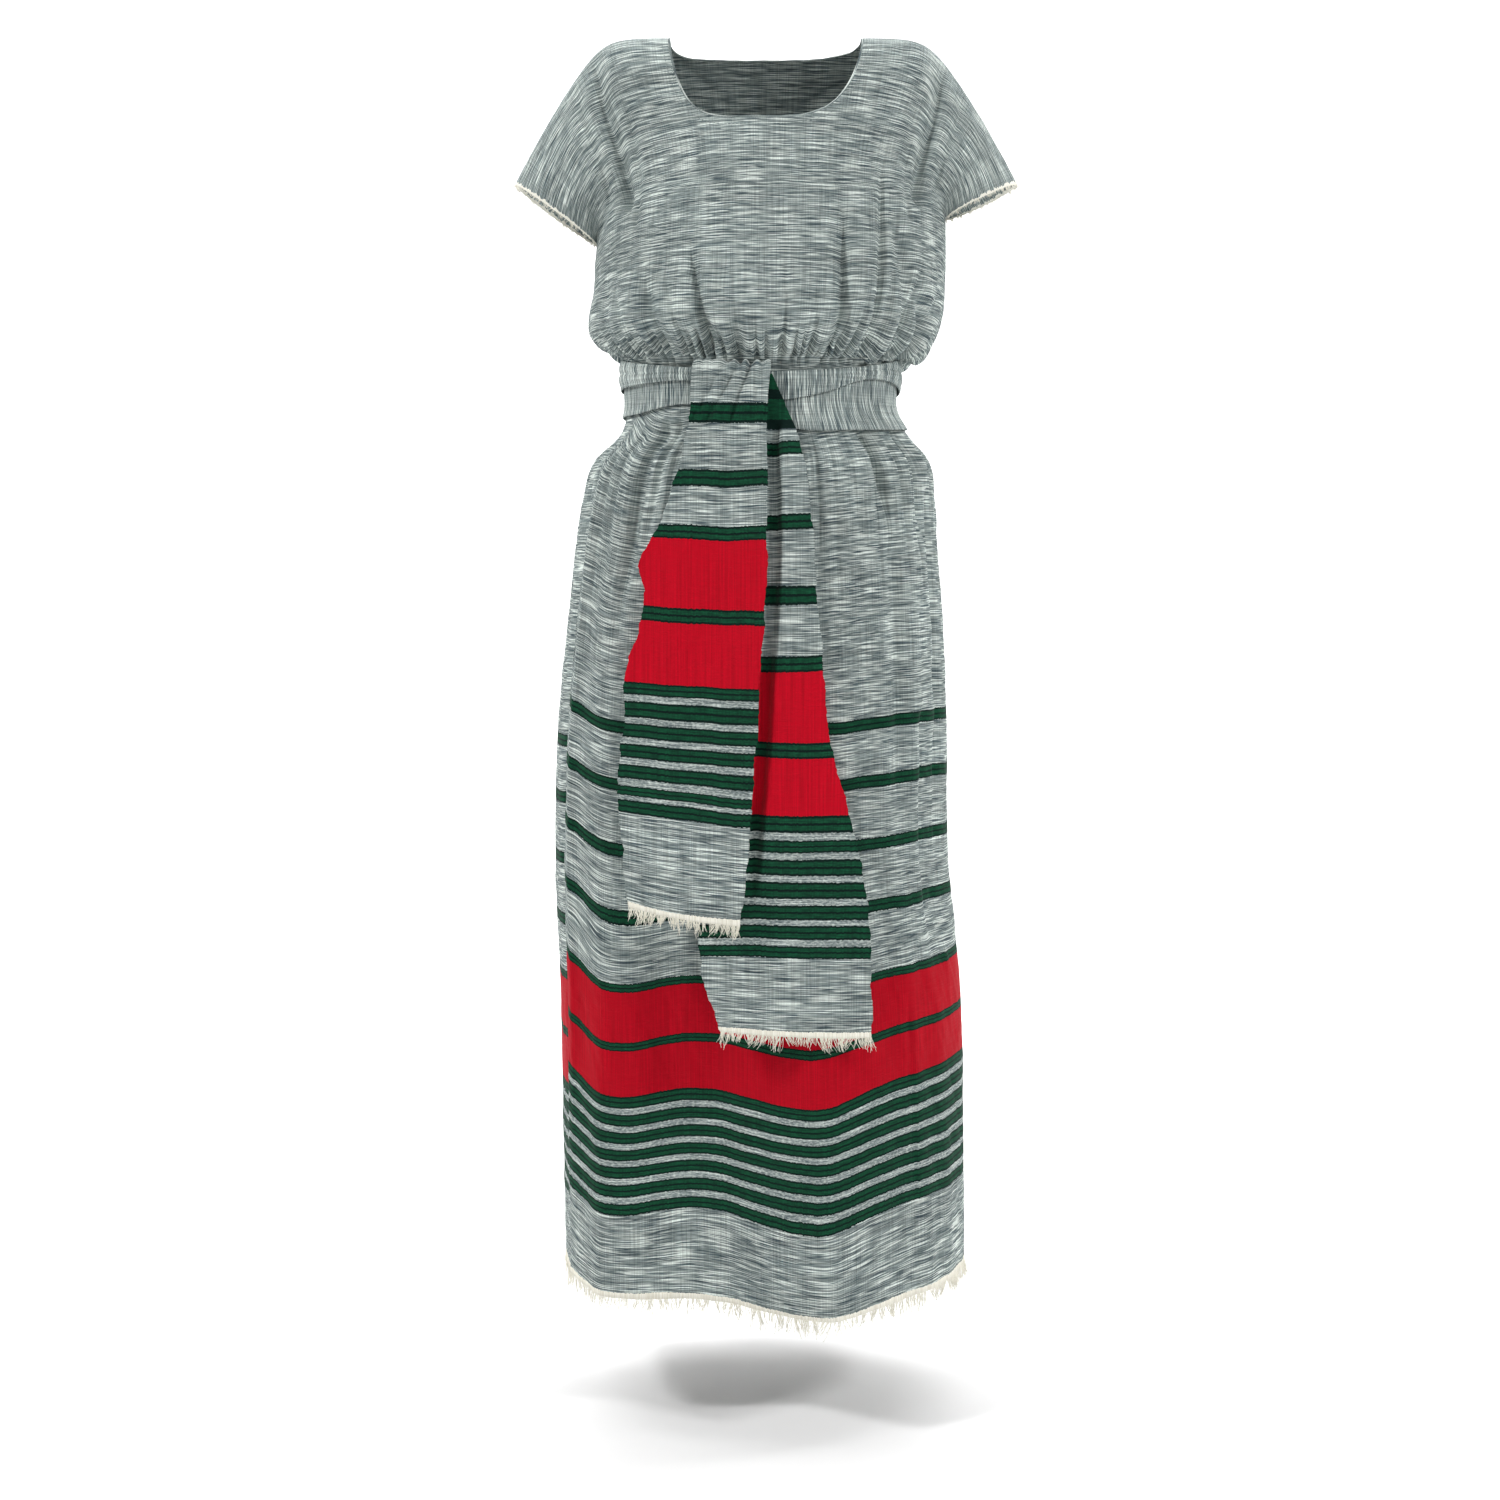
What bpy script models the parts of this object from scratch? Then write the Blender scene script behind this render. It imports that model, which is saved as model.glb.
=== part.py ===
"""A worn habesha kemis dress in slub cotton, hollow, with its own tied sash.

Metres, +Z up. The front faces -Y, +X is to the right of someone who looks at the front.
The origin is at the middle of the shoulder line, where the wearer's shoulders hold the dress.
Every cloth piece is a thin wall: an outer surface worked out from sizes, and an inner one moved
inwards from it along the smooth surface's own normal.
"""
import math

import bpy
import numpy as np

CLOTH = 0.0022
SASH_CLOTH = 0.0018
SASH_CLEARANCE = 0.0008
SASH_FLARE_CLEARANCE = 0.0010
SASH_CREASE = 0.0005
SASH_FLARE_TOP = -0.351
SEAM_GAP = 0.0003
FULLNESS = 0.18

SHOULDER_AT = 0.47
SHOULDER_ROUNDING = 0.045
ARM_STEEPNESS = 0.45
ARM_ROUNDING = 1.25
UNDERARM_AT = 0.40
SIDE_DROOP = 2.2

SLEEVE_TIP = {"left": (0.246, -0.1425), "right": (0.2475, -0.1425)}
UNDERARM = {"left": (0.1655, -0.2000), "right": (0.1770, -0.1745)}
SLEEVE_BULGE = {"front": 0.045, "back": 0.050}

NECK_HALF_WIDTH_AT = 0.291
NECK_SQUARENESS = 3.0
NECK_DEPTH_AT = {"front": 0.266, "back": 0.075}

WAIST_SEAM_Z = -0.3345
HEM_Z = -1.2145

# Columns: how far down the panel, height, forward reach of the front, rear reach of the back.
BODICE_MIDDLE = (
    (0.00, 0.0000, 0.000, 0.000),
    (0.05, -0.0080, 0.026, 0.028),
    (0.12, -0.0290, 0.050, 0.054),
    (0.22, -0.0695, 0.072, 0.080),
    (0.32, -0.1140, 0.090, 0.096),
    (0.40, -0.1545, 0.101, 0.102),
    (0.50, -0.1895, 0.110, 0.106),
    (0.62, -0.2245, 0.116, 0.110),
    (0.74, -0.2565, 0.119, 0.114),
    (0.84, -0.2840, 0.117, 0.115),
    (0.90, -0.2975, 0.111, 0.111),
    (0.935, -0.3070, 0.103, 0.1045),
    (0.955, -0.3135, 0.099, 0.101),
    (0.97, -0.3190, 0.098, 0.100),
    (1.00, WAIST_SEAM_Z, 0.098, 0.100),
)

# Columns: how far down the panel, left side reach, left height, right side reach, right height.
BODICE_SIDE_SEAM = (
    (0.40, 0.1655, -0.2000, 0.1770, -0.1745),
    (0.50, 0.1675, -0.2245, 0.1775, -0.2065),
    (0.62, 0.1690, -0.2515, 0.1770, -0.2420),
    (0.74, 0.1740, -0.2740, 0.1745, -0.2730),
    (0.84, 0.1710, -0.2925, 0.1655, -0.2975),
    (0.89, 0.1610, -0.3030, 0.1560, -0.3135),
    (0.92, 0.1520, -0.3060, 0.1470, -0.3175),
    (0.945, 0.1430, -0.3050, 0.1380, -0.3105),
    (0.965, 0.1365, -0.3060, 0.1270, -0.3040),
    (0.98, 0.1365, -0.3170, 0.1275, -0.3130),
    (1.00, 0.1365, WAIST_SEAM_Z, 0.1275, WAIST_SEAM_Z),
)

# Columns: place across at the top and bottom (-1 left edge, 1 right edge), how far down it
# starts and ends, half width across, depth (minus is a trough).
FRONT_BODICE_FOLDS = (
    (-0.56, -0.60, 0.02, 0.44, 0.045, -0.0060),
    (0.58, 0.62, 0.02, 0.44, 0.045, -0.0060),
    (-0.46, -0.44, 0.66, 1.02, 0.040, -0.0065),
    (-0.30, -0.25, 0.70, 1.02, 0.030, -0.0060),
    (0.07, 0.06, 0.72, 1.02, 0.025, -0.0030),
    (0.24, 0.32, 0.42, 1.02, 0.035, -0.0070),
    (0.45, 0.66, 0.34, 1.02, 0.040, -0.0080),
    (0.64, 0.80, 0.66, 1.00, 0.045, -0.0110),
    (-0.72, -0.74, 0.60, 1.00, 0.050, -0.0060),
)
BACK_BODICE_FOLDS = (
    (-0.58, -0.62, 0.02, 0.44, 0.05, -0.0060),
    (0.58, 0.62, 0.02, 0.44, 0.05, -0.0060),
    (-0.50, -0.42, 0.50, 1.02, 0.05, -0.0070),
    (-0.15, -0.12, 0.60, 1.02, 0.04, -0.0060),
    (0.18, 0.14, 0.56, 1.02, 0.04, -0.0065),
    (0.56, 0.46, 0.44, 1.02, 0.05, -0.0080),
)
GATHER_HEIGHT = 0.0030
GATHER_START = 0.80
GATHER_PEAK = 0.925
GATHER_END = 0.966

# Columns: height, left reach, right reach, front reach, back reach of the skirt's smooth form.
SKIRT_SECTIONS = (
    (WAIST_SEAM_Z, 0.1365, 0.1275, 0.098, 0.100),
    (-0.3640, 0.1365, 0.1275, 0.099, 0.101),
    (-0.3835, 0.1415, 0.1390, 0.103, 0.106),
    (-0.4120, 0.1665, 0.1600, 0.111, 0.117),
    (-0.4495, 0.1785, 0.1665, 0.118, 0.125),
    (-0.4890, 0.1855, 0.1690, 0.122, 0.129),
    (-0.5615, 0.1950, 0.1750, 0.126, 0.131),
    (-0.6765, 0.2060, 0.1800, 0.128, 0.133),
    (-0.7870, 0.2085, 0.1815, 0.130, 0.136),
    (-0.9495, 0.2025, 0.1955, 0.134, 0.142),
    (-1.0925, 0.1995, 0.1985, 0.138, 0.148),
    (HEM_Z, 0.1970, 0.1995, 0.140, 0.152),
)
SKIRT_ROWS = (-0.351, -0.363, -0.374, -0.385, -0.400, -0.428, -0.487,
              -0.577, -0.686, -0.807, -0.909, -1.000, -1.103)
LEFT_SEAM_ANGLE = -68.0
RIGHT_SEAM_ANGLE = 90.0
SEAM_REACH = 0.12

# Columns: angle round from the front at the top and at the bottom, top and bottom height,
# half width in degrees, height at the top and at the bottom (minus is a trough), sharpness
# (0 is soft, 1 is a pressed crease).
SKIRT_FOLDS = (
    (-68.0, -68.0, -0.398, -1.397, 7.0, 0.003, 0.005, 1.0),
    (-50.0, -50.0, -0.727, -1.217, 17.0, 0.000, 0.020, 1.0),
    (-24.0, -15.0, -0.547, -1.217, 24.0, -0.006, -0.034, 0.0),
    (15.0, 16.5, -0.827, -1.217, 26.0, 0.000, 0.046, 1.0),
    (66.0, 66.0, -0.646, -0.919, 7.0, -0.004, -0.008, 0.0),
    (-42.0, -46.0, -0.369, -0.547, 7.0, -0.009, -0.006, 0.0),
    (44.0, 42.0, -0.369, -0.487, 5.0, -0.007, -0.003, 0.0),
    (66.0, 60.0, -0.369, -0.517, 5.0, -0.008, -0.003, 0.0),
    (54.0, 50.0, -0.389, -0.787, 9.0, 0.004, 0.004, 0.0),
    (112.0, 116.0, -0.408, -1.217, 12.0, 0.006, 0.016, 0.0),
    (136.0, 138.0, -0.389, -1.217, 12.0, -0.008, -0.020, 0.0),
    (160.0, 158.0, -0.428, -1.217, 13.0, 0.006, 0.018, 0.0),
    (184.0, 180.0, -0.379, -1.217, 12.0, -0.008, -0.022, 0.0),
    (206.0, 204.0, -0.448, -1.217, 13.0, 0.005, 0.018, 0.0),
    (228.0, 230.0, -0.379, -1.217, 12.0, -0.008, -0.018, 0.0),
    (252.0, 254.0, -0.428, -1.217, 11.0, 0.004, 0.014, 0.0),
)

# Columns: angle round from the front, height of the upper edge, height of the lower edge.
SASH_INNER_EDGES = (
    (-90.0, -0.3140, -0.3695),
    (-60.0, -0.3220, -0.3680),
    (-35.0, -0.3280, -0.3610),
    (-15.0, -0.3305, -0.3650),
    (10.0, -0.3345, -0.3845),
    (40.0, -0.3295, -0.3850),
    (90.0, -0.3140, -0.3810),
    (140.0, -0.3240, -0.3790),
    (180.0, -0.3260, -0.3790),
    (230.0, -0.3240, -0.3750),
    (270.0, -0.3140, -0.3695),
)
SASH_OUTER_EDGES = (
    (0.0, -0.3315, -0.3610),
    (25.0, -0.3285, -0.3505),
    (45.0, -0.3245, -0.3375),
    (60.0, -0.3200, -0.3365),
    (90.0, -0.3115, -0.3455),
    (140.0, -0.3220, -0.3535),
    (180.0, -0.3240, -0.3550),
    (230.0, -0.3220, -0.3515),
    (270.0, -0.3130, -0.3435),
    (300.0, -0.3200, -0.3405),
    (325.0, -0.3260, -0.3385),
    (340.0, -0.3280, -0.3395),
)

# Columns: height, left edge, right edge, forward reach.
SHORT_TAIL = (
    (-0.3230, -0.065, 0.002, 0.1050),
    (-0.3210, -0.067, 0.004, 0.1095),
    (-0.3250, -0.069, 0.005, 0.1145),
    (-0.3335, -0.070, 0.004, 0.1165),
    (-0.3765, -0.073, 0.001, 0.1200),
    (-0.4280, -0.084, 0.001, 0.1270),
    (-0.4815, -0.103, 0.001, 0.1340),
    (-0.5090, -0.117, 0.001, 0.1360),
    (-0.5505, -0.115, -0.001, 0.1380),
    (-0.5735, -0.118, -0.002, 0.1390),
    (-0.6215, -0.132, -0.006, 0.1404),
    (-0.6700, -0.134, -0.008, 0.1420),
    (-0.7420, -0.140, -0.014, 0.1440),
    (-0.7840, -0.136, -0.017, 0.1456),
    (-0.8430, -0.131, -0.024, 0.1482),
)
LONG_TAIL = (
    (-0.3335, -0.030, 0.006, 0.1068),
    (-0.3815, -0.030, 0.026, 0.1130),
    (-0.3985, -0.028, 0.032, 0.1170),
    (-0.4715, -0.030, 0.043, 0.1300),
    (-0.5410, -0.036, 0.048, 0.1345),
    (-0.5990, -0.042, 0.053, 0.1365),
    (-0.6805, -0.050, 0.061, 0.1390),
    (-0.7295, -0.056, 0.073, 0.1400),
    (-0.7480, -0.058, 0.079, 0.1405),
    (-0.7920, -0.061, 0.089, 0.1425),
    (-0.8640, -0.064, 0.099, 0.1460),
    (-0.9070, -0.060, 0.100, 0.1490),
    (-0.9600, -0.042, 0.100, 0.1530),
)
# Columns: place across at the top and at the bottom (0 left edge, 1 right edge), half width,
# height at the top and at the bottom.
SHORT_TAIL_FOLDS = (
    (0.34, 0.22, 0.10, 0.0022, 0.0012),
    (0.62, 0.50, 0.10, -0.0020, -0.0014),
    (0.84, 0.80, 0.10, 0.0016, 0.0014),
)
LONG_TAIL_FOLDS = (
    (0.30, 0.24, 0.12, 0.0012, 0.0016),
    (0.62, 0.52, 0.12, -0.0014, -0.0018),
    (0.86, 0.80, 0.10, 0.0010, 0.0016),
)
SHORT_TAIL_CORNER_RISE = 0.011
LONG_TAIL_CORNER_RISE = 0.006

FRINGE_STRIP = 0.0035
FRINGE_THICKNESS = 0.0014
HEM_LOCK = 0.0150
TAIL_LOCK = 0.0110

GREY_COTTON = (0.31, 0.37, 0.39)
GREEN_COTTON = (0.01, 0.06, 0.035)
CREAM_COTTON = (0.80, 0.77, 0.66)


def clear_objects():
    for old in list(bpy.data.objects):
        bpy.data.objects.remove(old, do_unlink=True)


def cotton(name, colour):
    material = bpy.data.materials.new(name)
    material.use_nodes = True
    surface = material.node_tree.nodes["Principled BSDF"]
    surface.inputs["Base Color"].default_value = (*colour, 1.0)
    surface.inputs["Roughness"].default_value = 0.9
    surface.inputs["Metallic"].default_value = 0.0
    material.diffuse_color = (*colour, 1.0)
    return material


def through(table, column, at):
    """A smooth curve through one column of a table, against the table's first column."""
    rows = np.array(table, dtype=float)
    order = np.argsort(rows[:, 0])
    place = rows[order, 0]
    value = rows[order, column]
    slope = np.gradient(value, place)
    at = np.clip(np.asarray(at, dtype=float), place[0], place[-1])
    cell = np.clip(np.searchsorted(place, at) - 1, 0, len(place) - 2)
    width = place[cell + 1] - place[cell]
    u = (at - place[cell]) / width
    return (value[cell] * (1 + 2 * u) * (1 - u) ** 2
            + slope[cell] * width * u * (1 - u) ** 2
            + value[cell + 1] * u ** 2 * (3 - 2 * u)
            + slope[cell + 1] * width * u ** 2 * (u - 1))


def ease(u):
    """Rises smoothly from 0 to 1 as u goes from 0 to 1."""
    u = np.clip(u, 0.0, 1.0)
    return u * u * (3 - 2 * u)


def oval(angle):
    """Across and forward parts of a full oval section, for an angle round from the front."""
    across = np.sin(angle)
    return across, np.cos(angle) * (1 + FULLNESS * across ** 2)


def unit(vectors):
    return vectors / np.linalg.norm(vectors, axis=-1, keepdims=True)


def outward(surface, u, v):
    """Outward normals of surface(u, v), where u runs left to right and v runs down."""
    step = 1e-4
    along = surface(u + step, v) - surface(u - step, v)
    down = surface(u, v + step) - surface(u, v - step)
    return unit(np.cross(down, along))


def wall(name, outer, normal, thickness, material, closed=False):
    """A closed wall: the outer grid, the same grid moved inwards, and the edges between them."""
    rows, columns = outer.shape[:2]
    inner = outer - normal * thickness
    points = np.concatenate([outer.reshape(-1, 3), inner.reshape(-1, 3)])
    count = rows * columns
    last = columns if closed else columns - 1
    faces = []
    for r in range(rows - 1):
        for c in range(last):
            d = (c + 1) % columns
            top_left, top_right = r * columns + c, r * columns + d
            low_left, low_right = top_left + columns, top_right + columns
            faces.append((top_left, low_left, low_right, top_right))
            faces.append((count + top_left, count + top_right, count + low_right, count + low_left))
    for c in range(last):
        d = (c + 1) % columns
        low = (rows - 1) * columns
        faces.append((c, d, count + d, count + c))
        faces.append((low + c, count + low + c, count + low + d, low + d))
    if not closed:
        for r in range(rows - 1):
            left, right = r * columns, r * columns + columns - 1
            faces.append((left, count + left, count + left + columns, left + columns))
            faces.append((right, right + columns, count + right + columns, count + right))
    return add_object(name, points, faces, material)


def add_object(name, points, faces, material):
    mesh = bpy.data.meshes.new(name)
    mesh.from_pydata([tuple(p) for p in points], [], faces)
    mesh.validate()
    mesh.materials.append(material)
    mesh.shade_smooth()
    piece = bpy.data.objects.new(name, mesh)
    bpy.context.scene.collection.objects.link(piece)
    return piece


def bodice_edge(side, facing, down):
    """The sleeve opening's half oval from tip to underarm, then the side seam to the waist."""
    tip, under = SLEEVE_TIP[side], UNDERARM[side]
    column = 1 if side == "left" else 3
    turn = np.clip(down / UNDERARM_AT, 0.0, 1.0) * math.pi
    open_reach = (tip[0] + under[0]) / 2 + (tip[0] - under[0]) / 2 * np.cos(turn)
    open_height = (tip[1] + under[1]) / 2 + (tip[1] - under[1]) / 2 * np.cos(turn)
    sewn = down > UNDERARM_AT
    reach = np.where(sewn, through(BODICE_SIDE_SEAM, column, down), open_reach)
    height = np.where(sewn, through(BODICE_SIDE_SEAM, column + 1, down), open_height)
    return reach, height, SLEEVE_BULGE[facing] * np.sin(turn)


def bodice_surface(facing):
    """The bodice's smooth form: place across is -1 to 1, place down the cloth is 0 to 1."""
    reach_column = 2 if facing == "front" else 3
    forward_sign = -1.0 if facing == "front" else 1.0

    def surface(across, down):
        across, down = np.broadcast_arrays(np.asarray(across, float), np.asarray(down, float))
        away = np.abs(across)
        left = bodice_edge("left", facing, down)
        right = bodice_edge("right", facing, down)
        on_left = across < 0
        reach = np.where(on_left, left[0], right[0])
        edge_height = np.where(on_left, left[1], right[1])
        bulge = left[2]
        lower = ease(down / UNDERARM_AT)
        ramp = SHOULDER_ROUNDING * np.log1p(np.exp((away - SHOULDER_AT) / SHOULDER_ROUNDING))
        full = SHOULDER_ROUNDING * np.log1p(np.exp((1 - SHOULDER_AT) / SHOULDER_ROUNDING))
        shoulder = (away - ARM_STEEPNESS * ramp) / (1 - ARM_STEEPNESS * full)
        round_across, round_forward = oval(away * math.pi / 2)
        side = np.sign(across) * reach * ((1 - lower) * shoulder + lower * round_across)
        fall = (1 - lower) * (ramp / full) ** ARM_ROUNDING + lower * away ** SIDE_DROOP
        middle = through(BODICE_MIDDLE, 1, down)
        height = middle + (edge_height - middle) * fall
        forward = (through(BODICE_MIDDLE, reach_column, down) * round_forward
                   + bulge * ease((away - 0.5) / 0.5) + SEAM_GAP / 2)
        return np.stack([side, forward_sign * forward, height], axis=-1)

    return surface


def trough_or_ridge(across, down, folds):
    """The sum of the folds: each is a soft bump across that fades in and out down the cloth."""
    total = np.zeros(np.broadcast(across, down).shape)
    for at_top, at_bottom, start, end, width, height in folds:
        run = np.clip((down - start) / (end - start), 0.0, 1.0)
        middle = at_top + (at_bottom - at_top) * run
        fade = ease(run / 0.35) * ease((1 - run) / 0.12)
        total = total + height * fade * np.exp(-((across - middle) / width) ** 2)
    return total


def neck_start(across, facing):
    """How far down a column of the panel starts, so that the panels leave the neck open."""
    inside = np.clip(np.abs(across) / NECK_HALF_WIDTH_AT, 0.0, 1.0)
    depth = (1 - inside ** NECK_SQUARENESS) ** (1 / NECK_SQUARENESS)
    return NECK_DEPTH_AT[facing] * depth


def bodice_columns(neck_steps, side_steps):
    """Columns across: close together at the neckline's corners, even towards the sleeves."""
    turn = np.linspace(0.0, math.pi / 2, neck_steps + 1)
    neck = NECK_HALF_WIDTH_AT * np.sin(turn) ** (2 / NECK_SQUARENESS)
    side = np.linspace(NECK_HALF_WIDTH_AT, 1.0, side_steps + 1)[1:]
    half = np.concatenate([neck, side])
    return np.concatenate([-half[:0:-1], half])


def make_bodice(facing, folds, neck_steps, side_steps, row_places, material):
    surface = bodice_surface(facing)
    across = bodice_columns(neck_steps, side_steps)[None, :]
    start = neck_start(across, facing)
    down = start + (1 - start) * np.array(row_places)[:, None]
    across = np.broadcast_to(across, down.shape)
    normal = outward(surface, across, down)
    if facing == "back":
        normal = -normal
    seam = (np.abs(across) > 0.999) & (down >= UNDERARM_AT - 0.03)
    shoulder = down < 1e-6
    normal[seam | shoulder, 1] = 0.0
    normal = unit(normal)
    zigzag = np.where(np.arange(down.shape[1]) % 2 == 0, 1.0, -1.0)[None, :]
    gathered = ease((down - GATHER_START) / (GATHER_PEAK - GATHER_START))
    gathered = gathered * ease((GATHER_END - down) / (GATHER_END - GATHER_PEAK))
    gathered = gathered * ease((0.80 - np.abs(across)) / 0.12)
    still = ease((1 - np.abs(across)) / 0.08)
    hold = ease((0.970 - down) / 0.04)
    height = trough_or_ridge(across, down, folds) * still * hold
    height = height + GATHER_HEIGHT * gathered * zigzag
    outer = surface(across, down) + normal * height[..., None]
    if facing == "back":
        outer = outer[:, ::-1]
        normal = normal[:, ::-1]
    return wall("bodice_" + facing, outer, normal, CLOTH, material)


def skirt_surface(angle, height):
    """The skirt's smooth form, for an angle in degrees round from the front and a height."""
    turn = np.radians(angle)
    across, forward = oval(turn)
    side = np.where(across < 0, through(SKIRT_SECTIONS, 1, height),
                    through(SKIRT_SECTIONS, 2, height))
    reach = np.where(forward > 0, through(SKIRT_SECTIONS, 3, height),
                     through(SKIRT_SECTIONS, 4, height))
    return np.stack([side * across, -reach * forward, height + 0 * across], axis=-1)


def level_normal(angle, height):
    """Outward normal of the smooth skirt, kept level so that moved points stay at their height."""
    step = 0.01
    along = skirt_surface(angle + step, height) - skirt_surface(angle - step, height)
    normal = np.stack([-along[..., 1] * -1, -along[..., 0], 0 * along[..., 0]], axis=-1)
    return unit(normal)


def skirt_fold_height(angle, height):
    total = np.zeros(np.broadcast(angle, height).shape)
    for top_angle, low_angle, top, bottom, width, top_height, low_height, sharp in SKIRT_FOLDS:
        run = np.clip((top - height) / (top - bottom), 0.0, 1.0)
        middle = top_angle + (low_angle - top_angle) * run
        away = np.abs((angle - middle + 180.0) % 360.0 - 180.0) / width
        tent = np.exp(-np.sqrt(away ** 2 + 0.01) * 1.3) * math.exp(0.13)
        bump = sharp * tent + (1 - sharp) * np.exp(-away ** 2)
        fade = ease(run / 0.15)
        if bottom > HEM_Z:
            fade = fade * ease((1 - run) / 0.3)
        total = total + (top_height + (low_height - top_height) * run) * fade * bump
    return total


def skirt_cloth(angle, height):
    """The skirt's outer surface with its folds."""
    lift = skirt_fold_height(angle, height)[..., None]
    return skirt_surface(angle, height) + level_normal(angle, height) * lift


def make_skirt(name, first_angle, last_angle, steps, material):
    heights = np.array((WAIST_SEAM_Z - SEAM_GAP,) + SKIRT_ROWS + (HEM_Z,))[:, None]
    half_gap = math.degrees(SEAM_GAP / 2 / SEAM_REACH)
    angles = np.linspace(first_angle + half_gap, last_angle - half_gap, steps + 1)[None, :]
    angles, heights = np.broadcast_arrays(angles, heights)
    return wall(name, skirt_cloth(angles, heights), level_normal(angles, heights), CLOTH, material)


def make_turn(name, edges, first_angle, last_angle, steps, rows, lift, material, closed=False):
    """One turn of the sash: the waist's section moved out, between an upper and a lower edge."""
    angles = np.linspace(first_angle, last_angle, steps + 1)
    if closed:
        angles = angles[:-1]
    top = through(edges, 1, angles)
    bottom = through(edges, 2, angles)
    share = np.linspace(0.0, 1.0, rows + 1)[:, None]
    heights = top + (bottom - top) * share
    angles = np.broadcast_to(angles[None, :], heights.shape)
    normal = level_normal(angles, heights)
    crease = 2 * SASH_CREASE * np.sin(share * math.pi * 2.0) ** 2
    ease_out = SASH_FLARE_CLEARANCE * ease((SASH_FLARE_TOP - heights) / 0.02)
    stand = (lift + SASH_CLOTH + crease + ease_out)[..., None]
    outer = skirt_surface(angles, heights) + normal * stand
    return wall(name, outer, normal, SASH_CLOTH, material, closed)


def tail_grid(rows, folds, corner_rise, steps):
    """A hanging tail's outer points and normals, from its edges and its forward reach."""
    table = np.array(rows)
    height, left, right, reach = table.T
    share = np.linspace(0.0, 1.0, steps + 1)[None, :]
    run = ((height - height[0]) / (height[-1] - height[0]))[:, None]
    side = left[:, None] + (right - left)[:, None] * share
    lift = np.zeros_like(side)
    for at_top, at_bottom, width, top_height, low_height in folds:
        middle = at_top + (at_bottom - at_top) * run
        size = top_height + (low_height - top_height) * run
        lift = lift + size * ease(run / 0.1) * np.exp(-((share - middle) / width) ** 2)
    droop = corner_rise * ((1 - share) ** 2.5) * ease((run - 0.8) / 0.2)
    depth = height[:, None] + droop - 0.25 * corner_rise * np.sin(share * math.pi) * (run > 0.9)
    along = np.gradient(table[:, [3, 0]], axis=0)
    slope = unit(np.stack([along[:, 1], -along[:, 0]], axis=-1))
    normal = np.stack([np.zeros(len(table)), slope[:, 0], -slope[:, 1]], axis=-1)
    normal = np.broadcast_to(normal[:, None, :], side.shape + (3,)).copy()
    points = np.stack([side, np.broadcast_to(-reach[:, None], side.shape), depth], axis=-1)
    return points + normal * lift[..., None], normal


def make_fringe(name, edge, normal, cloth, lock, material, pieces):
    """A narrow strip just below a cloth edge, with tapered locks from every second cell."""
    place = np.linspace(0.0, len(edge) - 1.0, 2 * pieces + 2)
    steps = np.arange(len(edge))
    line = np.stack([np.interp(place, steps, edge[:, k]) for k in range(3)], axis=-1)
    facing = unit(np.stack([np.interp(place, steps, normal[:, k]) for k in range(3)], axis=-1))
    facing[:, 2] = 0.0
    facing = unit(facing)
    front = line - facing * (cloth - FRINGE_THICKNESS) / 2
    back = front - facing * FRINGE_THICKNESS
    levels = (-SEAM_GAP, -SEAM_GAP - FRINGE_STRIP)
    down = np.array((0.0, 0.0, 1.0))
    rings = [front + down * levels[0], front + down * levels[1],
             back + down * levels[1], back + down * levels[0]]
    points = [tuple(p) for ring in rings for p in ring]
    count = len(line)
    faces = [(0, 3 * count, 2 * count, count),
             (count - 1, 2 * count - 1, 3 * count - 1, 4 * count - 1)]
    for c in range(count - 1):
        faces.append((c, count + c, count + c + 1, c + 1))
        faces.append((3 * count + c, 3 * count + c + 1, 2 * count + c + 1, 2 * count + c))
        faces.append((c, c + 1, 3 * count + c + 1, 3 * count + c))
        root = (count + c, 2 * count + c, 2 * count + c + 1, count + c + 1)
        if c % 2 == 1 or c == count - 1:
            faces.append(root)
            continue
        sway = math.sin(c * 2.4) * 0.35
        length = lock * (0.86 + 0.14 * math.sin(c * 1.7 + 0.6))
        corners = np.array([points[k] for k in root])
        middle = corners.mean(axis=0)
        along = (corners[3] - corners[0]) * sway
        tip = middle + (corners - middle) * 0.35 + along - down * length
        first = len(points)
        points.extend(tuple(p) for p in tip)
        faces.append((first, first + 1, first + 2, first + 3))
        for k in range(4):
            n = (k + 1) % 4
            faces.append((root[k], root[n], first + n, first + k))
    return add_object(name, points, faces, material)


def make_hem_fringe(name, first_angle, last_angle, pieces, material):
    angles = np.linspace(first_angle + 0.4, last_angle - 0.4, 90)
    heights = np.full_like(angles, HEM_Z)
    edge = skirt_cloth(angles, heights)
    return make_fringe(name, edge, level_normal(angles, heights), CLOTH, HEM_LOCK, material, pieces)


def make_tail(name, rows, folds, corner_rise, steps, pieces, cloth_material, fringe_material):
    outer, normal = tail_grid(rows, folds, corner_rise, steps)
    wall(name, outer, normal, SASH_CLOTH, cloth_material)
    fringe_name = name.replace("sash_", "") + "_fringe"
    make_fringe(fringe_name, outer[-1], normal[-1], SASH_CLOTH, TAIL_LOCK, fringe_material, pieces)


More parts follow.
